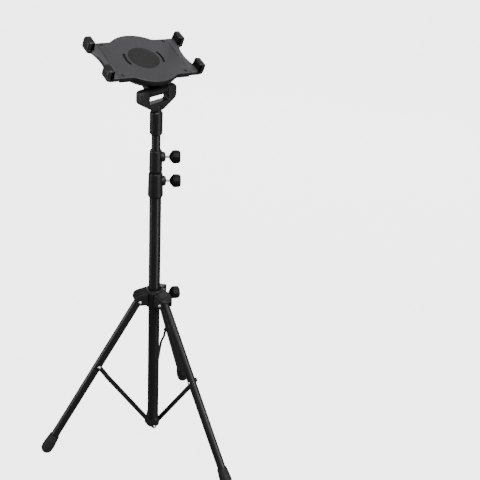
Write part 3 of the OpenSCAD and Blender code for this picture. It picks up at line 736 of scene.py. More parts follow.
class Layout:
    """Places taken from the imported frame's joints, mounts and nodes."""

    def __init__(self, loaded: dict[str, Any]) -> None:
        """Indexes the frame.
        """
        self.nodes: dict[str, bpy.types.Object] = loaded["nodes"]
        self.record: dict[str, Any] = loaded["record"]
        self.joints = {j["name"]: j for j in loaded["joints"]}
        self.mounts = {m["name"]: m for m in self.record["mounts"]}
        self.hinge = self.at("holder_tilt")
        self.mast = self.hinge * np.array([1.0, 1.0, 0.0])

    def at(self, joint: str) -> Array:
        """A joint's place."""
        return np.array(self.joints[joint]["pos_m"], float)

    def axis(self, joint: str) -> Array:
        """A joint's direction."""
        return np.array(self.joints[joint]["axis"], float)

    def points(self, node: str) -> Array:
        """All the points of a CAD node.

        Args:
            node: The node's name.

        Returns:
            Array of shape (n, 3), in metres.
        """
        mesh = self.nodes[node].data
        flat = np.zeros(len(mesh.vertices) * 3)
        mesh.vertices.foreach_get("co", flat)
        return flat.reshape(-1, 3)

    def span(self, node: str, pose: Pose) -> tuple[float, float]:
        """Lowest and highest Z of a node in a pose, in millimetres."""
        z = pose.local(self.points(node))[:, 2] / MM
        return float(z.min()), float(z.max())

    def reach(self, node: str, pose: Pose) -> float:
        """Largest distance of a node from a pose's Z axis, in millimetres."""
        flat = pose.local(self.points(node))[:, :2] / MM
        return float(np.linalg.norm(flat, axis=1).max())

    def plate(self) -> Pose:
        """Middle of the plate's face: X across it, Y up it, Z out of it."""
        z = self.axis("plate_swivel")
        return Pose.along(self.at("plate_swivel"), z, np.cross(z, self.axis("right_jaw_slide")))

    def fork(self) -> Pose:
        """Middle of the hinge, with the shared frame's axes."""
        return Pose(self.hinge, np.eye(3))

    def upright(self, height: float) -> Pose:
        """On the column's axis at a height, with the shared frame's axes."""
        return Pose(self.mast + UP * height, np.eye(3))

    def clamp(self, name: str) -> Pose:
        """A clamp screw's axis, pointing away from the column."""
        return Pose.along(self.at(f"{name}_knob_turn"), self.axis(f"{name}_knob_turn"), UP)

    def radial(self, leg: int, height: float) -> Pose:
        """On the column's axis: X out along a leg's direction, Y to its left, Z up."""
        side = self.axis(f"brace_{leg}_swing")
        return Pose(self.mast + UP * height, np.stack([np.cross(side, UP), side, UP], axis=1))

    def foot(self, leg: int, lift: float) -> Pose:
        """Middle of a foot's round end, lifted above the floor by metres, with Z down along its leg."""
        end = np.array(self.mounts[f"foot_{leg}"]["pos_m"], float) + UP * lift
        return Pose.along(end, end - self.at(f"leg_{leg}_swing"), self.axis(f"leg_{leg}_swing"))


# Sub-assemblies, with sizes in millimetres and angles in degrees


@dataclass
class Assembly:
    """What every sub-assembly holds: the frame's places and the finishes."""

    layout: Layout
    finishes: Finishes

    def add(self, name: str, shape: Surface, body: str, slot: Slot, *nodes: str,
            finish: Material | None = None) -> None:
        """Turns a surface into an object that rides on a body and stands for CAD nodes.

        Args:
            name: The piece's name.
            shape: Its surface, in the shared frame.
            body: The CAD body it rides on.
            slot: The record's slot.
            *nodes: CAD nodes that it stands for.
            finish: Its material, where that isn't the slot's own.
        """
        mesh = clean_mesh(name, shape, finish or self.finishes.slots[slot])
        made = bpy.data.objects.new(name, mesh)
        bpy.context.scene.collection.objects.link(made)
        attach(made, body)
        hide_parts(*nodes)
        LOG.info("%s: %d faces on %s", name, len(mesh.polygons), body)


@dataclass
class Plate(Assembly):
    """The holder's face: a plate with round bulges, two curved slots, a pad in a recess and four screws."""

    half_w: float = 61.3
    half_h: float = 42.5
    bulge: float = 56.4
    fillet: float = 10.0
    depth: float = 6.2
    face: float = 2.6
    wall: float = 2.4
    edge: float = 1.3
    hem: float = 0.4
    hole_r: float = 20.0
    flat_r: float = 36.0
    mouth_half: float = 32.7
    slack: float = 0.05
    recess_gap: float = 0.1
    recess_edge: float = 0.2
    pad_r: float = 24.3
    pad_sink: float = 0.6
    pad_top: float = 0.4
    pad_flat: float = 6.0
    groove_in: float = 1.6
    groove_w: float = 0.8
    groove_depth: float = 0.14
    slot_r: float = 31.0
    slot_half_w: float = 1.8
    slot_turn: float = 21.8
    slot_depth: float = 2.4
    slot_lip: float = 0.3
    slot_least: float = 0.03
    margin: float = 0.9
    screw_x: float = 54.2
    screw_y: float = 36.85
    screw_r: float = 2.7
    screw_rise: float = 0.28
    screw_sink: float = 0.5
    cross_depth: float = 0.55
    cross_half_w: float = 0.34
    cross_reach: float = 1.45
    columns: int = 240
    corner_step: float = 0.012
    mouth_step: float = 0.004
    slot_end_shares: tuple[float, ...] = (0.0, 0.4, 0.7, 0.88, 0.97, 1.0)
    face_shares: tuple[float, ...] = (0.35, 0.7, 1.0)
    face_in: float = 2.2

    def outline(self, turn: Array, inset: float) -> Array:
        """Distance of the outline from the middle in each direction.

        The outline is a rectangle with a circle over it. Between them runs a fillet whose circle touches
        both, and an inset draws the rectangle and the circle in and lets the fillet grow, so all stay
        parallel.

        Args:
            turn: Directions, in radians.
            inset: How far the outline is drawn in.

        Returns:
            Distances in millimetres.
        """
        half_w, half_h = self.half_w - inset, self.half_h - inset
        r, fillet = self.bulge - inset, self.fillet + inset
        y = half_h + fillet
        x = math.sqrt((r + fillet) ** 2 - y**2)
        q = np.arctan2(np.abs(np.sin(turn)), np.abs(np.cos(turn)))
        box = np.minimum(half_w / np.maximum(np.cos(q), TINY), half_h / np.maximum(np.sin(q), TINY))
        ahead = x * np.cos(q) + y * np.sin(q)
        arc = ahead - np.sqrt(np.maximum(ahead**2 - x**2 - y**2 + fillet**2, 0.0))
        return np.where(q > math.atan2(y, x), r, np.where(q > math.atan2(half_h, x), arc, box))

    def directions(self) -> Array:
        """Directions of the grid's columns: even steps, and the corners, slot ends and mouth corners.

        Returns:
            Sorted directions in radians.
        """
        corner = math.atan2(self.half_h, self.half_w) + self.corner_step * np.array([0.0, -1.0, 1.0])
        mouth = math.atan2(self.mouth_half, self.half_w) + self.mouth_step * np.array([0.0, 1.0])
        round_end = math.asin(self.slot_half_w / self.slot_r) * np.array(self.slot_end_shares)
        first = np.concatenate([corner, mouth, math.radians(self.slot_turn) + round_end])
        sides = np.concatenate([first, -first, math.pi + first, math.pi - first]) % FULL_TURN
        return np.unique(np.round(np.concatenate([circle(self.columns), sides]), 6))

    def skin(self) -> Surface:
        """The face, its slots, its round edge, the skirt and the underside, as one polar grid.

        Each row is a ring round the middle. Inner rings are circles, the outer ones follow the outline, and
        the rings beside the slots follow them: a slot's half width is that of its round ends, and where
        there is no slot its rings lie on the face. The skirt stops at the face where the jaws' tongues
        come out.

        Returns:
            A closed surface.
        """
        turn = self.directions()
        q = np.abs((turn + math.pi / 2) % math.pi - math.pi / 2)
        over = np.maximum(q - math.radians(self.slot_turn), 0.0) / math.asin(self.slot_half_w / self.slot_r)
        width = self.slot_half_w * np.sqrt(np.clip(1 - over**2, 0.0, 1.0))
        sunk = np.where(width > self.slot_least, self.slot_depth, 0.0)
        lip = np.where(width > self.slot_least, self.slot_lip, 0.0)
        near, far = self.slot_r - width, self.slot_r + width
        recess = self.pad_r + self.recess_gap
        rim = self.outline(turn, 0.0)
        at_end = np.abs(np.abs(rim * np.cos(turn)) - self.half_w) < self.slack
        in_mouth = at_end & (np.abs(rim * np.sin(turn)) < self.mouth_half + self.slack)
        skirt = np.where(in_mouth, self.face, self.depth)
        reach = self.outline(turn, self.face_in * self.edge) - self.flat_r
        bends = [self.edge * (1 - np.array([math.sin(a), math.cos(a)])) for a in quarter(6)]
        rings = [
            (self.hole_r, -self.pad_sink), (recess, -self.pad_sink), (recess, -self.recess_edge),
            (recess + self.recess_edge, 0.0), (recess + self.margin, 0.0),
            (near - self.margin, 0.0), (near - lip, 0.0), (near, -lip), (near, -sunk),
            (far, -sunk), (far, -lip), (far + lip, 0.0), (far + self.margin, 0.0),
            (self.flat_r, 0.0), *[(self.flat_r + share * reach, 0.0) for share in self.face_shares],
            *[(self.outline(turn, inset), -fall) for inset, fall in bends],
            (rim, self.hem - skirt), (self.outline(turn, self.hem), -skirt),
            (self.outline(turn, self.wall), -skirt), (self.outline(turn, self.wall), -self.face),
            (self.hole_r, -self.face),
        ]
        radius = np.stack([r + 0.0 * turn for r, _ in rings])
        height = np.stack([z + 0.0 * turn for _, z in rings])
        return grid(self.layout.plate().place(polar(radius, turn, height) * MM), loop_rows=True)

    def pad(self) -> Surface:
        """The pad: a disc with a round rim, a shallow ring groove and a flat face.

        Returns:
            A closed surface.
        """
        top, r = self.pad_top, self.pad_r
        turn = quarter(5)
        foot = np.array([[0.0, -self.pad_sink], [r, -self.pad_sink]])
        rim = np.stack([r - top + top * np.cos(turn), top * np.sin(turn)], axis=1)
        across = r - self.groove_in - self.groove_w * np.array([0.0, 0.25, 0.75, 1.0])
        groove = np.stack([across, top - self.groove_depth * np.array([0.0, 1.0, 1.0, 0.0])], axis=1)
        face = np.array([[r - self.pad_flat, top], [0.0, top]])
        return revolve(np.concatenate([foot, rim, groove, face]), self.layout.plate(), 120)

    def screws(self) -> Surface:
        """Four low screw heads with a cross recess.

        A head is a shallow dome on polar rings. Where a point lies in either bar of the cross, it is sunk.

        Returns:
            A surface of four closed heads.
        """
        turn = circle(96)
        share = np.concatenate([np.linspace(0.0, 0.6, 18), np.linspace(0.65, 1.0, 8)])
        radius = self.screw_r * share[:, None] * np.ones_like(turn)
        x, y = np.abs(radius * np.cos(turn)), np.abs(radius * np.sin(turn))
        thin, reach = self.cross_half_w, self.cross_reach
        cross = ((x < thin) & (y < reach)) | ((y < thin) & (x < reach))
        dome = self.screw_rise * np.sqrt(np.maximum(1 - (radius / self.screw_r) ** 4, 0.0))
        below = np.array([[self.screw_r], [0.0]]) + 0.0 * turn
        low = polar(below, turn, 0.0 * below - self.screw_sink)
        head = np.concatenate([polar(radius, turn, dome - self.cross_depth * cross), low]) * MM
        corners = [(sx * self.screw_x, sy * self.screw_y) for sx in BOTH_SIDES for sy in BOTH_SIDES]
        made = [grid(self.layout.plate().moved(*corner).place(head)) for corner in corners]
        return sum(made[1:], start=made[0])

    def build(self) -> None:
        """Makes the plate, the pad and the screw heads."""
        # Its finish paints the slots, round edges and skirt darker as shade.
        self.add("plate_face", self.skin(), "plate", Slot.GREY, "front_plate", finish=self.finishes.plate)
        self.add("plate_pad", self.pad(), "plate", Slot.RUBBER, "centre_pad", finish=self.finishes.pad)
        self.add("plate_screw_heads", self.screws(), "plate", Slot.DARK, "plate_screws")


@dataclass
class Jaw(Assembly):
    """One sliding end bracket: a bowed flange, two hooked claws with ribbed linings, and a tongue."""

    side: Side
    inner: float = 61.6
    post_in: float = 76.0
    post_out: float = 84.0
    waist: float = 5.0
    pitch: float = 67.2
    claw_w: float = 17.8
    claw_edge: float = 1.7
    depth: float = 6.2
    edge: float = 0.7
    gap: float = 10.5
    top: float = 14.0
    lip_x: float = 72.5
    lining: float = 1.5
    lining_in: float = 1.0
    lining_edge: float = 0.25
    rib: float = 0.2
    ribs: int = 7
    tongue_half: float = 32.1
    tongue_low: float = -5.9
    tongue_high: float = -2.9
    tongue_edge: float = 0.3
    tongue_end: float = 20.0
    rail_end: float = 2.5
    rail_w: float = 12.0
    overlap: float = 1.0
    sunk: float = 0.06

    def pose(self) -> Pose:
        """The plate's middle, with X out to this jaw's side."""
        return self.layout.plate().turned(self.side.value)

    def flange(self) -> Surface:
        """The bracket between the claws, with an outer edge bowed in along a circle.

        The bow's circle passes through the claws' inner corners and the waist, so its x is
        waist + R - sqrt(R^2 - y^2).

        Returns:
            A closed surface.
        """
        half = (self.pitch - self.claw_w) / 2
        end = (self.pitch + self.claw_w) / 2 - self.sunk
        bow = (half**2 + self.waist**2) / (2 * self.waist)
        y = np.linspace(-half, half, 33)
        arc = np.stack([self.post_in - self.waist + bow - np.sqrt(bow**2 - y**2), y], axis=1)
        root = self.post_in + self.overlap
        upper = np.array([[root, half], [root, end], [self.inner, end]])
        lower = np.array([[self.inner, -end], [root, -end], [root, -half]])
        outline = np.concatenate([arc, upper, lower])
        return slab(outline, edge_levels(-self.depth, 0.0, self.edge), self.pose())

    def claw(self, sign: int) -> Surface:
        """A hooked claw: its side outline carried across its width, with round edges.

        Args:
            sign: 1 for the upper claw, -1 for the lower one.

        Returns:
            A closed surface.
        """
        foot, low = self.post_in - self.waist, -self.depth + self.sunk
        outline = rounded([
            (foot, low, 0.6), (self.post_out, low, 6.3), (self.post_out, self.top, 5.5),
            (self.lip_x, self.top, 1.7), (self.lip_x, self.gap, 0.9), (self.post_in, self.gap, 1.0),
            (self.post_in, -self.sunk, 1.2), (foot, -self.sunk, 0.4),
        ])
        side = self.pose().moved(0.0, sign * self.pitch / 2).sideways()
        return slab(outline, edge_levels(-self.claw_w / 2, self.claw_w / 2, self.claw_edge), side)

    def tongue(self) -> Surface:
        """The flat tongue with two rails that runs inside the plate.

        Returns:
            A closed surface.
        """
        half, back = self.tongue_half, self.tongue_half - self.rail_w
        root, rail, end = self.inner + self.overlap, self.rail_end, self.tongue_end
        outline = rounded([
            (root, -half, 0.1), (root, half, 0.1), (rail, half, 1.0), (rail, back, 1.0),
            (end, back, 2.0), (end, -back, 2.0), (rail, -back, 1.0), (rail, -half, 1.0),
        ], 4)
        levels = edge_levels(self.tongue_low, self.tongue_high, self.tongue_edge, 3)
        return slab(outline, levels, self.pose())

    def linings(self) -> Surface:
        """Two rubber linings with upright ribs.

        A lining's outline, seen along the claw, is a strip whose gripping side waves as 1 - cos.

        Returns:
            A surface of two closed linings.
        """
        half = self.claw_w / 2 - self.lining_in
        y = np.linspace(-half, half, 61)
        wave = (1 - np.cos(FULL_TURN * y / (2 * half) * self.ribs)) / 2
        grip = np.stack([self.post_in - self.lining + self.rib * wave, y], axis=1)[::-1]
        outline = np.concatenate([grip, [[self.post_in, -half], [self.post_in, half]]])
        edge = self.lining_edge
        levels = edge_levels(edge, self.gap - edge, edge, 3)
        made = [slab(outline, levels, self.pose().moved(0.0, s * self.pitch / 2)) for s in BOTH_SIDES]
        return made[0] + made[1]

    def build(self) -> None:
        """Makes the bracket with its tongue, and the linings."""
        name = self.side.name.lower()
        body = f"jaw_{name}"
        shape = self.flange() + self.claw(1) + self.claw(-1) + self.tongue()
        # Its finish paints light on the flange's top and shade on the walls and seam.
        self.add(f"{name}_bracket", shape, body, Slot.GREY, f"{name}_jaw", finish=self.finishes.jaw)
        self.add(f"{name}_linings", self.linings(), body, Slot.RUBBER, f"{name}_claw_linings")


@dataclass
class Fork(Assembly):
    """The yoke: two ears, a slot right through and a V down to a round neck."""

    half_w: float = 35.5
    depth: float = 15.0
    top: float = 8.0
    ear_in: float = 18.1
    slot_in: float = 19.1
    ear_drop: float = 16.5
    corner_r: float = 7.0
    saddle: float = 16.0
    step: float = 9.0
    foot: float = 29.6
    neck_r: float = 8.6
    neck_h: float = 9.0
    neck_edge: float = 0.8
    v_x: tuple[float, float] = (25.0, 16.0)
    boxy: float = 8.0
    soften: int = 4

    def keys(self) -> Array:
        """Paired points of the front outline below the hinge, where its direction changes.

        Returns:
            Rows of inner x and z, and outer x and z, in millimetres.
        """
        bend = np.radians([-12.0, -30.0, -60.0])
        corner_x = self.half_w - self.corner_r * (1 - np.cos(bend))
        corner_z = -self.ear_drop + self.corner_r * (1 + np.sin(bend))
        fall = (self.foot + corner_z[2]) / (corner_x[2] - self.neck_r)
        high, low = [(x, -self.foot + (x - self.neck_r) * fall) for x in self.v_x]
        return np.array([
            (self.ear_in, 0.0, self.half_w, 0.0),
            (self.ear_in, -self.step, self.half_w, -self.step + 1.6),
            (self.slot_in, -self.step, self.half_w, -self.step + 0.4),
            (self.slot_in, -self.saddle + 4.6, corner_x[0], corner_z[0]),
            (self.slot_in, -self.saddle + 3.0, corner_x[1], corner_z[1]),
            (self.slot_in, -self.saddle + 1.2, corner_x[2], corner_z[2]),
            (self.slot_in - 1.2, -self.saddle, *high),
            (self.slot_in - 9.0, -self.saddle, *low),
            (self.neck_r - 3.0, -self.saddle, self.neck_r, -self.foot),
            (0.0, -self.saddle, 0.0, -self.foot),
        ])

    def stations(self) -> Array:
        """Paired points of the fork's front outline from an ear's top to the middle of the saddle.

        Above the hinge the outer point and the half depth follow a circle about it. Below, the pairs run
        straight from key to key, and a moving average over the stations rounds the corners.

        Returns:
            Rows of inner x and z, outer x and z, and half depth, in millimetres.
        """
        turn = np.linspace(math.pi / 2, 0.0, 17)[:-1]
        rise = self.top * np.sin(turn)
        out = self.half_w - self.top + self.top * np.cos(turn)
        deep = np.minimum(self.top * np.cos(turn), self.depth / 2)
        ear = np.stack([0 * turn + self.ear_in, rise, out, rise, deep], axis=1)
        keys = self.keys()
        move = np.abs(np.diff(keys, axis=0)).max(axis=1)
        mark = np.concatenate([[0.0], np.cumsum(move)])
        along = np.linspace(0.0, mark[-1], 121)
        line = np.stack([np.interp(along, mark, key) for key in keys.T], axis=1)
        wide = np.pad(line, ((self.soften, self.soften), (0, 0)), mode="reflect", reflect_type="odd")
        soft = np.mean([wide[k:k + len(line)] for k in range(2 * self.soften + 1)], axis=0)
        return np.concatenate([ear, np.concatenate([soft, 0 * along[:, None] + self.depth / 2], axis=1)])

    def fork(self) -> Surface:
        """A boxy section carried from ear to ear round the slot.

        Between an inner and an outer point the section is the curve |a|^n + |b|^n = 1, with a from inside
        to outside and b from front to back. The half depth shrinks to nothing at the ears' tops, which
        closes them.

        Returns:
            A closed surface.
        """
        right = self.stations()
        left = right[-2::-1] * np.array([-1.0, 1.0, -1.0, 1.0, 1.0])
        rows = np.concatenate([right, left])[:, None]
        c, s = np.cos(circle(48)), np.sin(circle(48))
        a = np.sign(c) * np.abs(c) ** (2 / self.boxy)
        b = np.sign(s) * np.abs(s) ** (2 / self.boxy)
        x = (rows[..., 0] + rows[..., 2]) / 2 + (rows[..., 2] - rows[..., 0]) / 2 * a
        z = (rows[..., 1] + rows[..., 3]) / 2 + (rows[..., 3] - rows[..., 1]) / 2 * a
        points = np.stack([x, rows[..., 4] * b, z], axis=-1)
        return grid(self.layout.fork().place(points * MM))

    def neck(self) -> Surface:
        """The round foot of the fork, with a small round edge below.

        Returns:
            A closed surface.
        """
        r, low, edge, top = self.neck_r, -self.foot, self.neck_edge, self.neck_h - self.foot
        bend = [[r - edge, low], [r - 0.25, low + 0.25], [r, low + edge]]
        profile = np.array([[0.0, low], *bend, [r, top], [0.0, top + 1.0]])
        return revolve(profile, self.layout.fork())

    def build(self) -> None:
        """Makes the yoke."""
        self.add("fork_yoke", self.fork() + self.neck(), "fork", Slot.MOULDED, "yoke")


@dataclass
class ClampKnob(Assembly):
    """A fluted knob with a cone towards the column, and its screw, sized and placed by their CAD nodes."""

    name: str
    flutes: int = 12
    flute_depth: float = 0.28
    flute_power: int = 6
    flute_start: float = 1.6
    flute_stop: float = 2.5
    flute_end: float = 0.8
    hole_r: float = 2.05
    hole_sink: float = 0.3
    throat_r: float = 3.0
    cone_share: float = 0.25
    cone_in: float = 1.6
    cone_power: float = 0.8
    shoulder: float = 1.3
    belly: float = 0.3
    crown: float = 4.2
    rim: float = 5.6
    rim_drop: float = 0.4
    dish: float = 6.1
    dish_drop: float = 0.65
    pitch: float = 0.8
    rows_per_pitch: int = 8
    thread: float = 0.3
    plain_end: float = 1.0

    def grip(self) -> Surface:
        """The knob's profile carried round its screw, with flutes on the barrel.

        The radius at height h and turn t is profile(h) - depth * fade(h) * |cos(n t / 2)|^p, where fade is
        1 on the barrel and 0 on the cone and the end face.

        Returns:
            A closed surface.
        """
        pose = self.layout.clamp(self.name)
        node = f"{self.name}_clamp_knob"
        low, high = self.layout.span(node, pose)
        r, long = self.layout.reach(node, pose), high - low
        side, cone = r - self.belly, self.cone_share * long
        s = np.linspace(0.0, 1.0, 7)[:, None]
        throat = np.array([[0.0, self.hole_sink], [self.hole_r, self.hole_sink], [self.throat_r, 0.0]])
        widening = (r - self.cone_in - self.throat_r) * s**self.cone_power
        flare = np.concatenate([self.throat_r + widening, cone * s], axis=1)[1:]
        shoulder = np.array([[r - 0.85, cone + 0.45], [side, cone + self.shoulder]])
        body = long - cone - self.shoulder - self.crown
        swell = side + self.belly * np.sin(s * math.pi)
        barrel = np.concatenate([swell, cone + self.shoulder + body * s], axis=1)[1:]
        turn = s[1:] * math.pi / 2
        bend, rise = self.crown * np.cos(turn), (self.crown - self.rim_drop) * np.sin(turn)
        crown = np.concatenate([side - self.crown + bend, long - self.crown + rise], axis=1)
        floor = long - self.dish_drop
        dish = np.array([[r - self.rim, long - self.rim_drop], [r - self.dish, floor], [0.0, floor]])
        profile = np.concatenate([throat, flare, shoulder, barrel, crown, dish])
        angle = circle(144)
        groove = np.abs(np.cos(self.flutes * angle / 2)) ** self.flute_power
        up = profile[:, 1:]
        begins = np.clip((up - cone) / self.flute_start, 0.0, 1.0)
        ends = np.clip((long - self.flute_end - up) / self.flute_stop, 0.0, 1.0)
        radius = profile[:, :1] - self.flute_depth * (begins * ends) * groove
        return revolve(np.stack([radius, up + low + 0.0 * angle], axis=-1), pose, angle.size)

    def screw(self) -> Surface:
        """The screw: a rod with a rolled thread, and a plain end towards the column.

        The radius at height h and turn t is r - depth * fade(h) * (1 + cos(2 pi h / pitch - t)) / 2.

        Returns:
            A closed surface.
        """
        pose = self.layout.clamp(self.name)
        node = f"{self.name}_clamp_screw"
        low, high = self.layout.span(node, pose)
        h = np.linspace(low, high, round((high - low) / self.pitch * self.rows_per_pitch))[:, None]
        turn = circle(32)
        wave = (1 + np.cos(FULL_TURN * h / self.pitch - turn)) / 2
        fade = np.clip(h - low - self.plain_end, 0.0, 1.0)
        radius = self.layout.reach(node, pose) - self.thread * fade * wave
        rows = np.stack([radius, h + 0.0 * turn], axis=-1)
        ends = rows[[0, -1]] * np.array([0.0, 1.0])
        return revolve(np.concatenate([ends[:1], rows, ends[1:]]), pose, turn.size)

    def build(self) -> None:
        """Makes the knob and its screw."""
        body, node, finish = f"{self.name}_knob", f"{self.name}_clamp", self.finishes.knob
        self.add(f"{body}_grip", self.grip(), body, Slot.MOULDED, f"{node}_knob", finish=finish)
        self.add(f"{body}_screw", self.screw(), body, Slot.BRIGHT, f"{node}_screw")


@dataclass(frozen=True)
class ClampBoss:
    """A round stub on a clamp's axis, with a chamfer and a small countersink round the screw."""

    start: float
    out: float
    radius: float = 8.1
    chamfer: float = 2.2
    sink_r: float = 2.9
    sink: float = 0.8
    screw_r: float = 2.06

    def shape(self, pose: Pose) -> Surface:
        """The boss's profile carried round the screw.

        Args:
            pose: The clamp's axis.

        Returns:
            A closed surface.
        """
        r, out, floor = self.radius, self.out, self.out - self.sink
        profile = rounded([
            (0.0, self.start, 0.0), (r, self.start, 0.1), (r, out - self.chamfer, 1.2),
            (r - self.chamfer, out, 0.9), (self.sink_r, out, 0.3), (self.screw_r, floor, 0.2),
            (0.0, floor, 0.0),
        ], 5)
        return revolve(profile, pose)


@dataclass
class Collar(Assembly):
    """A clamp collar: a tapered sleeve with round ends, and a boss for the screw."""

    name: str
    body: str
    low_r: float
    top_r: float
    seat_r: float
    bore_r: float
    seat_h: float
    boss_start: float = 0.8
    boss_cover: float = 8.0
    chamfer: float = 3.0
    foot_in: float = 1.8
    brow: float = 2.0
    brow_out: float = 0.4

    def sleeve(self) -> Surface:
        """The sleeve's closed section carried round the column.

        Returns:
            A closed surface.
        """
        axis = self.layout.upright(0.0)
        low, high = self.layout.span(f"{self.name}_collar", axis)
        seat = low + self.seat_h
        section = rounded([
            (self.seat_r, low, 0.2), (self.low_r - self.foot_in, low, 0.6),
            (self.low_r, low + self.chamfer, 1.4), (self.top_r + self.brow_out, high - self.brow, 1.0),
            (self.top_r - self.brow_out, high, 0.5), (self.bore_r, high, 0.3),
            (self.bore_r, seat, 0.1), (self.seat_r, seat, 0.1),
        ], 5)
        return revolve(section, axis, 96, closed=True)

    def build(self) -> None:
        """Makes the collar."""
        boss = ClampBoss(self.bore_r + self.boss_start, self.bore_r + self.boss_cover)
        shape = self.sleeve() + boss.shape(self.layout.clamp(self.name))
        self.add(f"{self.name}_collar_sleeve", shape, self.body, Slot.MOULDED, f"{self.name}_collar")


@dataclass
class LowerCollar(Collar):
    """The collar on the lower tube, which clamps the middle tube."""

    name: str = "lower"
    body: str = "column"
    low_r: float = 12.15
    top_r: float = 10.75
    seat_r: float = 9.55
    bore_r: float = 8.35
    seat_h: float = 20.0


@dataclass
class UpperCollar(Collar):
    """The collar on the middle tube, which clamps the top tube."""

    name: str = "upper"
    body: str = "middle"
    low_r: float = 10.45
    top_r: float = 9.2
    seat_r: float = 8.3
    bore_r: float = 7.1
    seat_h: float = 18.0


@dataclass
class LegHub(Assembly):
    """The leg hub: a ring round the column, three hooded lobes with two cheeks each, and the clamp boss."""

    boss: ClampBoss = ClampBoss(11.0, 19.4)
    pivot_r: float = 25.6
    bore_r: float = 10.1
    core_r: float = 15.4
    rise: float = 19.0
    drop: float = 6.5
    core_drop: float = 11.0
    lip_h: float = 4.0
    lip_in: float = 2.2
    lip_w: float = 1.2
    lip_seat: float = 1.6
    room: float = 7.6
    cheek_out: float = 11.6
    cheek_edge: float = 0.9
    roof_in: float = 0.02
    root: float = 4.0
    reach: float = 36.0
    nose_r: float = 16.0
    nose_half: float = 9.5
    swing: float = 9.8
    spread: float = 58.0

    def height(self) -> float:
        """Height of the leg pivots, in metres."""
        return float(self.layout.at("hub_on_leg")[2])

    def ring(self) -> Surface:
        """The ring's closed section carried round the column: a body, and a lip round the tube above it.

        Returns:
            A closed surface.
        """
        core, bore, low, top = self.core_r, self.bore_r, -self.core_drop, self.rise
        step, seat = top - self.lip_h, top - self.lip_seat
        outer, inner = core - self.lip_in, core - self.lip_in - self.lip_w
        section = rounded([
            (bore, low, 0.4), (core, low, 1.0), (core, step, 1.0), (core - 1.0, step + 0.4, 0.4),
            (outer, top, 0.8), (inner, top, 0.5), (inner - 0.2, seat, 0.3), (bore, seat, 0.4),
        ], 5)
        return revolve(section, self.layout.upright(self.height()), 96, closed=True)

    def nosed(self, shape: Surface, pose: Pose) -> Surface:
        """A lobe's pieces drawn in to a round nose.

        Seen from above, x goes no further than c + sqrt(r^2 - y^2), the nose's circle.

        Args:
            shape: Pieces of the lobe.
            pose: Out along the lobe's leg.

        Returns:
            The pieces with a round nose.
        """
        local = pose.local(shape.points) / MM
        limit = self.reach - self.nose_r + np.sqrt(self.nose_r**2 - local[:, 1] ** 2)
        local[:, 0] = np.minimum(local[:, 0], limit)
        return Surface(pose.place(local * MM), shape.quads, shape.caps)

    def lobe(self, leg: int) -> Surface:
        """One lobe: two cheeks beside the leg and a roof over its top.

        The cheeks share the lobe's side outline, round below the pivot. The roof fills it above the circle
        that the leg's top swings in, and ends outwards along the widest leg. Levels across the roof let it
        follow the round nose.

        Args:
            leg: Number of the leg.

        Returns:
            A surface of three closed pieces.
        """
        pose = self.layout.radial(leg, self.height())
        side = pose.sideways()
        inner, out, chin = self.core_r - self.root, self.cheek_out, self.pivot_r + self.drop
        brow = [(self.reach, 8.0, 2.4), (self.pivot_r + 3.0, 13.0, 3.5), (inner, self.rise - 2.0, 0.5)]
        cheek = rounded([
            (inner, -self.drop, 0.5), (chin - 0.3, -self.drop, 5.0), (chin - 0.1, -1.4, 2.0),
            (self.reach, 3.0, 1.2), *brow,
        ])
        steps = 6
        crest = rounded([(self.reach, 5.0, 0.8), *brow, (inner, 0.5, 0.3)], steps)[:-steps]
        turn = np.radians(np.linspace(180.0, self.spread, 25))
        swept = np.stack([self.pivot_r + self.swing * np.cos(turn), self.swing * np.sin(turn)], axis=1)
        roof = np.concatenate([crest, [[inner, 0.0]], swept])
        near = slab(cheek, edge_levels(self.room, out, self.cheek_edge), side)
        far = slab(cheek, edge_levels(-out, -self.room, self.cheek_edge), side)
        edges = edge_levels(-out + self.roof_in, out - self.roof_in, self.cheek_edge)
        lower, upper = np.split(edges, 2)
        across = np.stack([np.zeros(11), np.linspace(-self.nose_half, self.nose_half, 11)], axis=1)
        top = slab(roof, np.concatenate([lower, across, upper]), side)
        return self.nosed(near + far + top, pose)

    def build(self) -> None:
        """Makes the hub."""
        shape = sum((self.lobe(leg) for leg in LEGS), start=self.ring())
        shape = shape + self.boss.shape(self.layout.clamp("hub"))
        self.add("hub_lobes", shape, "hub", Slot.MOULDED, "leg_hub")


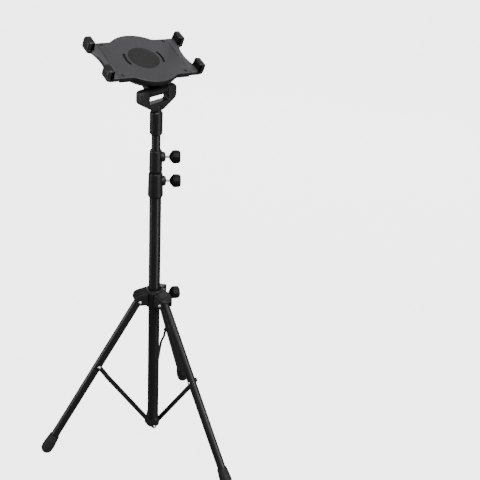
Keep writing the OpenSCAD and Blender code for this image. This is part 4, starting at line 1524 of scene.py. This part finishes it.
@dataclass
class Foot(Assembly):
    """A rubber foot: a rolled rim, a sleeve that swells, ribs, and a round end cut flat on the floor."""

    leg: int
    round_r: float = 10.0
    flat: float = 1.8
    sleeve: float = 28.0
    neck: float = 7.0
    mouth: float = 1.5
    tube_r: float = 7.05
    rim_r: float = 8.4
    rim_h: float = 1.2
    rim_out: float = 0.2
    swell: float = 0.25
    swell_power: float = 0.9
    ribs: int = 3
    rib: float = 0.28
    ribbed: float = 0.42

    def shape(self) -> Surface:
        """The foot's profile carried round the leg, then pressed flat where it would go below the floor.

        The sleeve widens from the rim to the round end, and shallow ribs ripple it near the rim.

        Returns:
            A closed surface.
        """
        pose = self.layout.foot(self.leg, (self.round_r - self.flat) * MM)
        top, bore, deep = -self.sleeve, self.tube_r, self.mouth - self.sleeve
        inside = [[0.0, deep], [bore, deep], [bore, top + 0.3], [bore + 0.4, top]]
        rim = [[self.rim_r - 0.3, top], [self.rim_r + 0.1, top + 0.5]]
        s = np.linspace(0.0, 1.0, 41)
        first, last = self.rim_r + self.rim_out, self.round_r + self.swell
        ripple = self.rib * np.sin(s * math.pi * 2 * self.ribs / self.ribbed) ** 2 * (s < self.ribbed)
        along = top + self.rim_h + (self.sleeve - self.rim_h - self.neck) * s
        wall = np.stack([first + (last - first) * s**self.swell_power - ripple, along], axis=1)
        turn = quarter(17)
        end = self.round_r * np.stack([np.cos(turn), np.sin(turn)], axis=1)
        made = revolve(np.concatenate([inside, rim, wall, end]), pose, 96)
        made.points[:, 2] = np.maximum(made.points[:, 2], 0.0)
        return made

    def build(self) -> None:
        """Makes the foot."""
        name, body, node = f"rubber_foot_{self.leg}", f"leg_{self.leg}", f"foot_{self.leg}"
        self.add(name, self.shape(), body, Slot.RUBBER, node)


@dataclass
class PlainPieces(Assembly):
    """The CAD nodes that show as they are, each with its slot's finish."""

    def build(self) -> None:
        """Dresses every CAD node by the record's slot."""
        slots = {s["node"]: s["material_slot"] for s in self.layout.record["subparts"]}
        for name, node in self.layout.nodes.items():
            node.data.materials.clear()
            node.data.materials.append(self.finishes.slots[Slot(slots[name])])
            if not node.hide_render:
                LOG.info("%s: dressed as %s", name, slots[name])


# Studio, with sizes in metres


@dataclass(frozen=True)
class SoftBox:
    """A soft box that faces the stand, placed right, away and up of its foot as the camera sees it."""

    name: str
    place: Triple
    size: tuple[float, float]
    watts: float


SOFT_BOXES = (
    SoftBox("right_box", (1.45, -0.75, 0.48), (0.4, 0.75), 5.5),
    SoftBox("right_card", (1.2, -1.0, -0.08), (0.32, 0.95), 4.8),
    SoftBox("left_card", (-1.45, -0.15, 0.0), (0.3, 0.7), 2.0),
    SoftBox("left_box", (-1.5, -0.2, 0.75), (0.22, 1.05), 8.0),
    SoftBox("back_box", (0.6, 1.8, 0.9), (1.2, 1.0), 16.0),
)


@dataclass
class Studio:
    """Pale floor, soft lights and the camera at the photograph's place."""

    layout: Layout
    distance: float = 1.4956
    height: float = 1.1614
    round_mast: float = -42.3
    pan: float = 5.25
    pitch: float = 27.04
    roll: float = 3.07
    lens: float = 78.11
    nearest: float = 0.05
    farthest: float = 60.0
    floor_r: float = 9.0
    floor_z: float = -0.0001
    sweep: float = 3.0
    wall: float = 6.0
    aim_z: float = 0.38
    overhead_from: Triple = (0.3, -0.6, 1.0)
    overhead_spread: float = 60.0
    overhead_strength: float = 4.8
    room_strength: float = 0.15

    def floor(self) -> None:
        """Lays a round floor whose far rim sweeps up along a quarter circle into a low wall."""
        turn = quarter(13)
        out = self.floor_r + self.sweep
        rim = np.stack([self.floor_r + self.sweep * np.sin(turn), self.sweep * (1 - np.cos(turn))], axis=1)
        profile = np.concatenate([[[0.0, 0.0]], rim, [[out, self.wall]]])
        shape = revolve(profile / MM, self.layout.upright(self.floor_z), 96)
        mesh = clean_mesh("studio_floor", shape, FloorPaint().build())
        made = bpy.data.objects.new("studio_floor", mesh)
        made.visible_glossy = False
        made.visible_diffuse = False
        made.visible_shadow = False
        bpy.context.scene.collection.objects.link(made)

    def turned(self, vector: Sequence[float]) -> Array:
        """A vector as the camera sees it (right, away, up), turned round the column into the shared frame.

        Args:
            vector: The vector in the camera's own frame.

        Returns:
            The vector in the shared frame.
        """
        a = math.radians(self.round_mast)
        x, y, z = vector
        return np.array([x * math.cos(a) - y * math.sin(a), x * math.sin(a) + y * math.cos(a), z])

    def hang(self, light: bpy.types.Light, spot: Array, aim: Array) -> None:
        """Hangs a light at a spot so that it faces the aim.

        Args:
            light: The light.
            spot: Its place in the shared frame.
            aim: The place it faces.
        """
        made = bpy.data.objects.new(light.name, light)
        made.location = spot
        made.rotation_euler = (Vector(aim) - Vector(spot)).to_track_quat("-Z", "Y").to_euler()
        bpy.context.scene.collection.objects.link(made)

    def lights(self) -> None:
        """Sets the overhead light, the soft boxes and the even light of the room."""
        overhead = bpy.data.lights.new("overhead", "SUN")
        overhead.energy = self.overhead_strength
        overhead.angle = math.radians(self.overhead_spread)
        self.hang(overhead, self.turned(self.overhead_from), np.zeros(3))
        for box in SOFT_BOXES:
            light = bpy.data.lights.new(box.name, "AREA")
            light.shape = "RECTANGLE"
            light.size, light.size_y = box.size
            light.energy = box.watts
            self.hang(light, self.layout.mast + self.turned(box.place), self.layout.mast + UP * self.aim_z)
        world = bpy.data.worlds.new("studio_room")
        world.use_nodes = True
        room = world.node_tree.nodes["Background"]
        room.inputs["Color"].default_value = (1.0, 1.0, 1.0, 1.0)
        room.inputs["Strength"].default_value = self.room_strength
        bpy.context.scene.world = world

    def camera(self) -> None:
        """Sets the camera from its distance, height, pan, pitch and roll."""
        pan, pitch, roll = (math.radians(v) for v in (self.pan, self.pitch, self.roll))
        level = math.cos(pitch)
        ahead = self.turned((math.sin(pan) * level, math.cos(pan) * level, -math.sin(pitch)))
        right = self.turned((math.cos(pan), -math.sin(pan), 0.0))
        up = np.cross(right, ahead)
        across = math.cos(roll) * right + math.sin(roll) * up
        above = -math.sin(roll) * right + math.cos(roll) * up
        eye = self.layout.mast + self.turned((0.0, -self.distance, self.height))
        matrix = np.eye(4)
        matrix[:3] = np.stack([across, above, -ahead, eye], axis=1)
        data = bpy.data.cameras.new("camera")
        data.lens = self.lens
        data.clip_start, data.clip_end = self.nearest, self.farthest
        made = bpy.data.objects.new("camera", data)
        made.matrix_world = Matrix(matrix.tolist())
        bpy.context.scene.collection.objects.link(made)
        bpy.context.scene.camera = made

    def build(self) -> None:
        """Makes the floor, the lights and the camera."""
        self.floor()
        self.lights()
        self.camera()


def main() -> None:
    """Builds the sub-assemblies in order, dresses the rest and sets the studio."""
    logging.basicConfig(level=logging.INFO, format="%(name)s: %(message)s")
    layout = Layout(frame)
    finishes = Finishes.build(layout.plate())
    Plate(layout, finishes).build()
    for side in Side:
        Jaw(layout, finishes, side).build()
    Fork(layout, finishes).build()
    for name in CLAMPS:
        ClampKnob(layout, finishes, name).build()
    LowerCollar(layout, finishes).build()
    UpperCollar(layout, finishes).build()
    LegHub(layout, finishes).build()
    for leg in LEGS:
        Foot(layout, finishes, leg).build()
    PlainPieces(layout, finishes).build()
    Studio(layout).build()


if __name__ == "__main__":
    main()
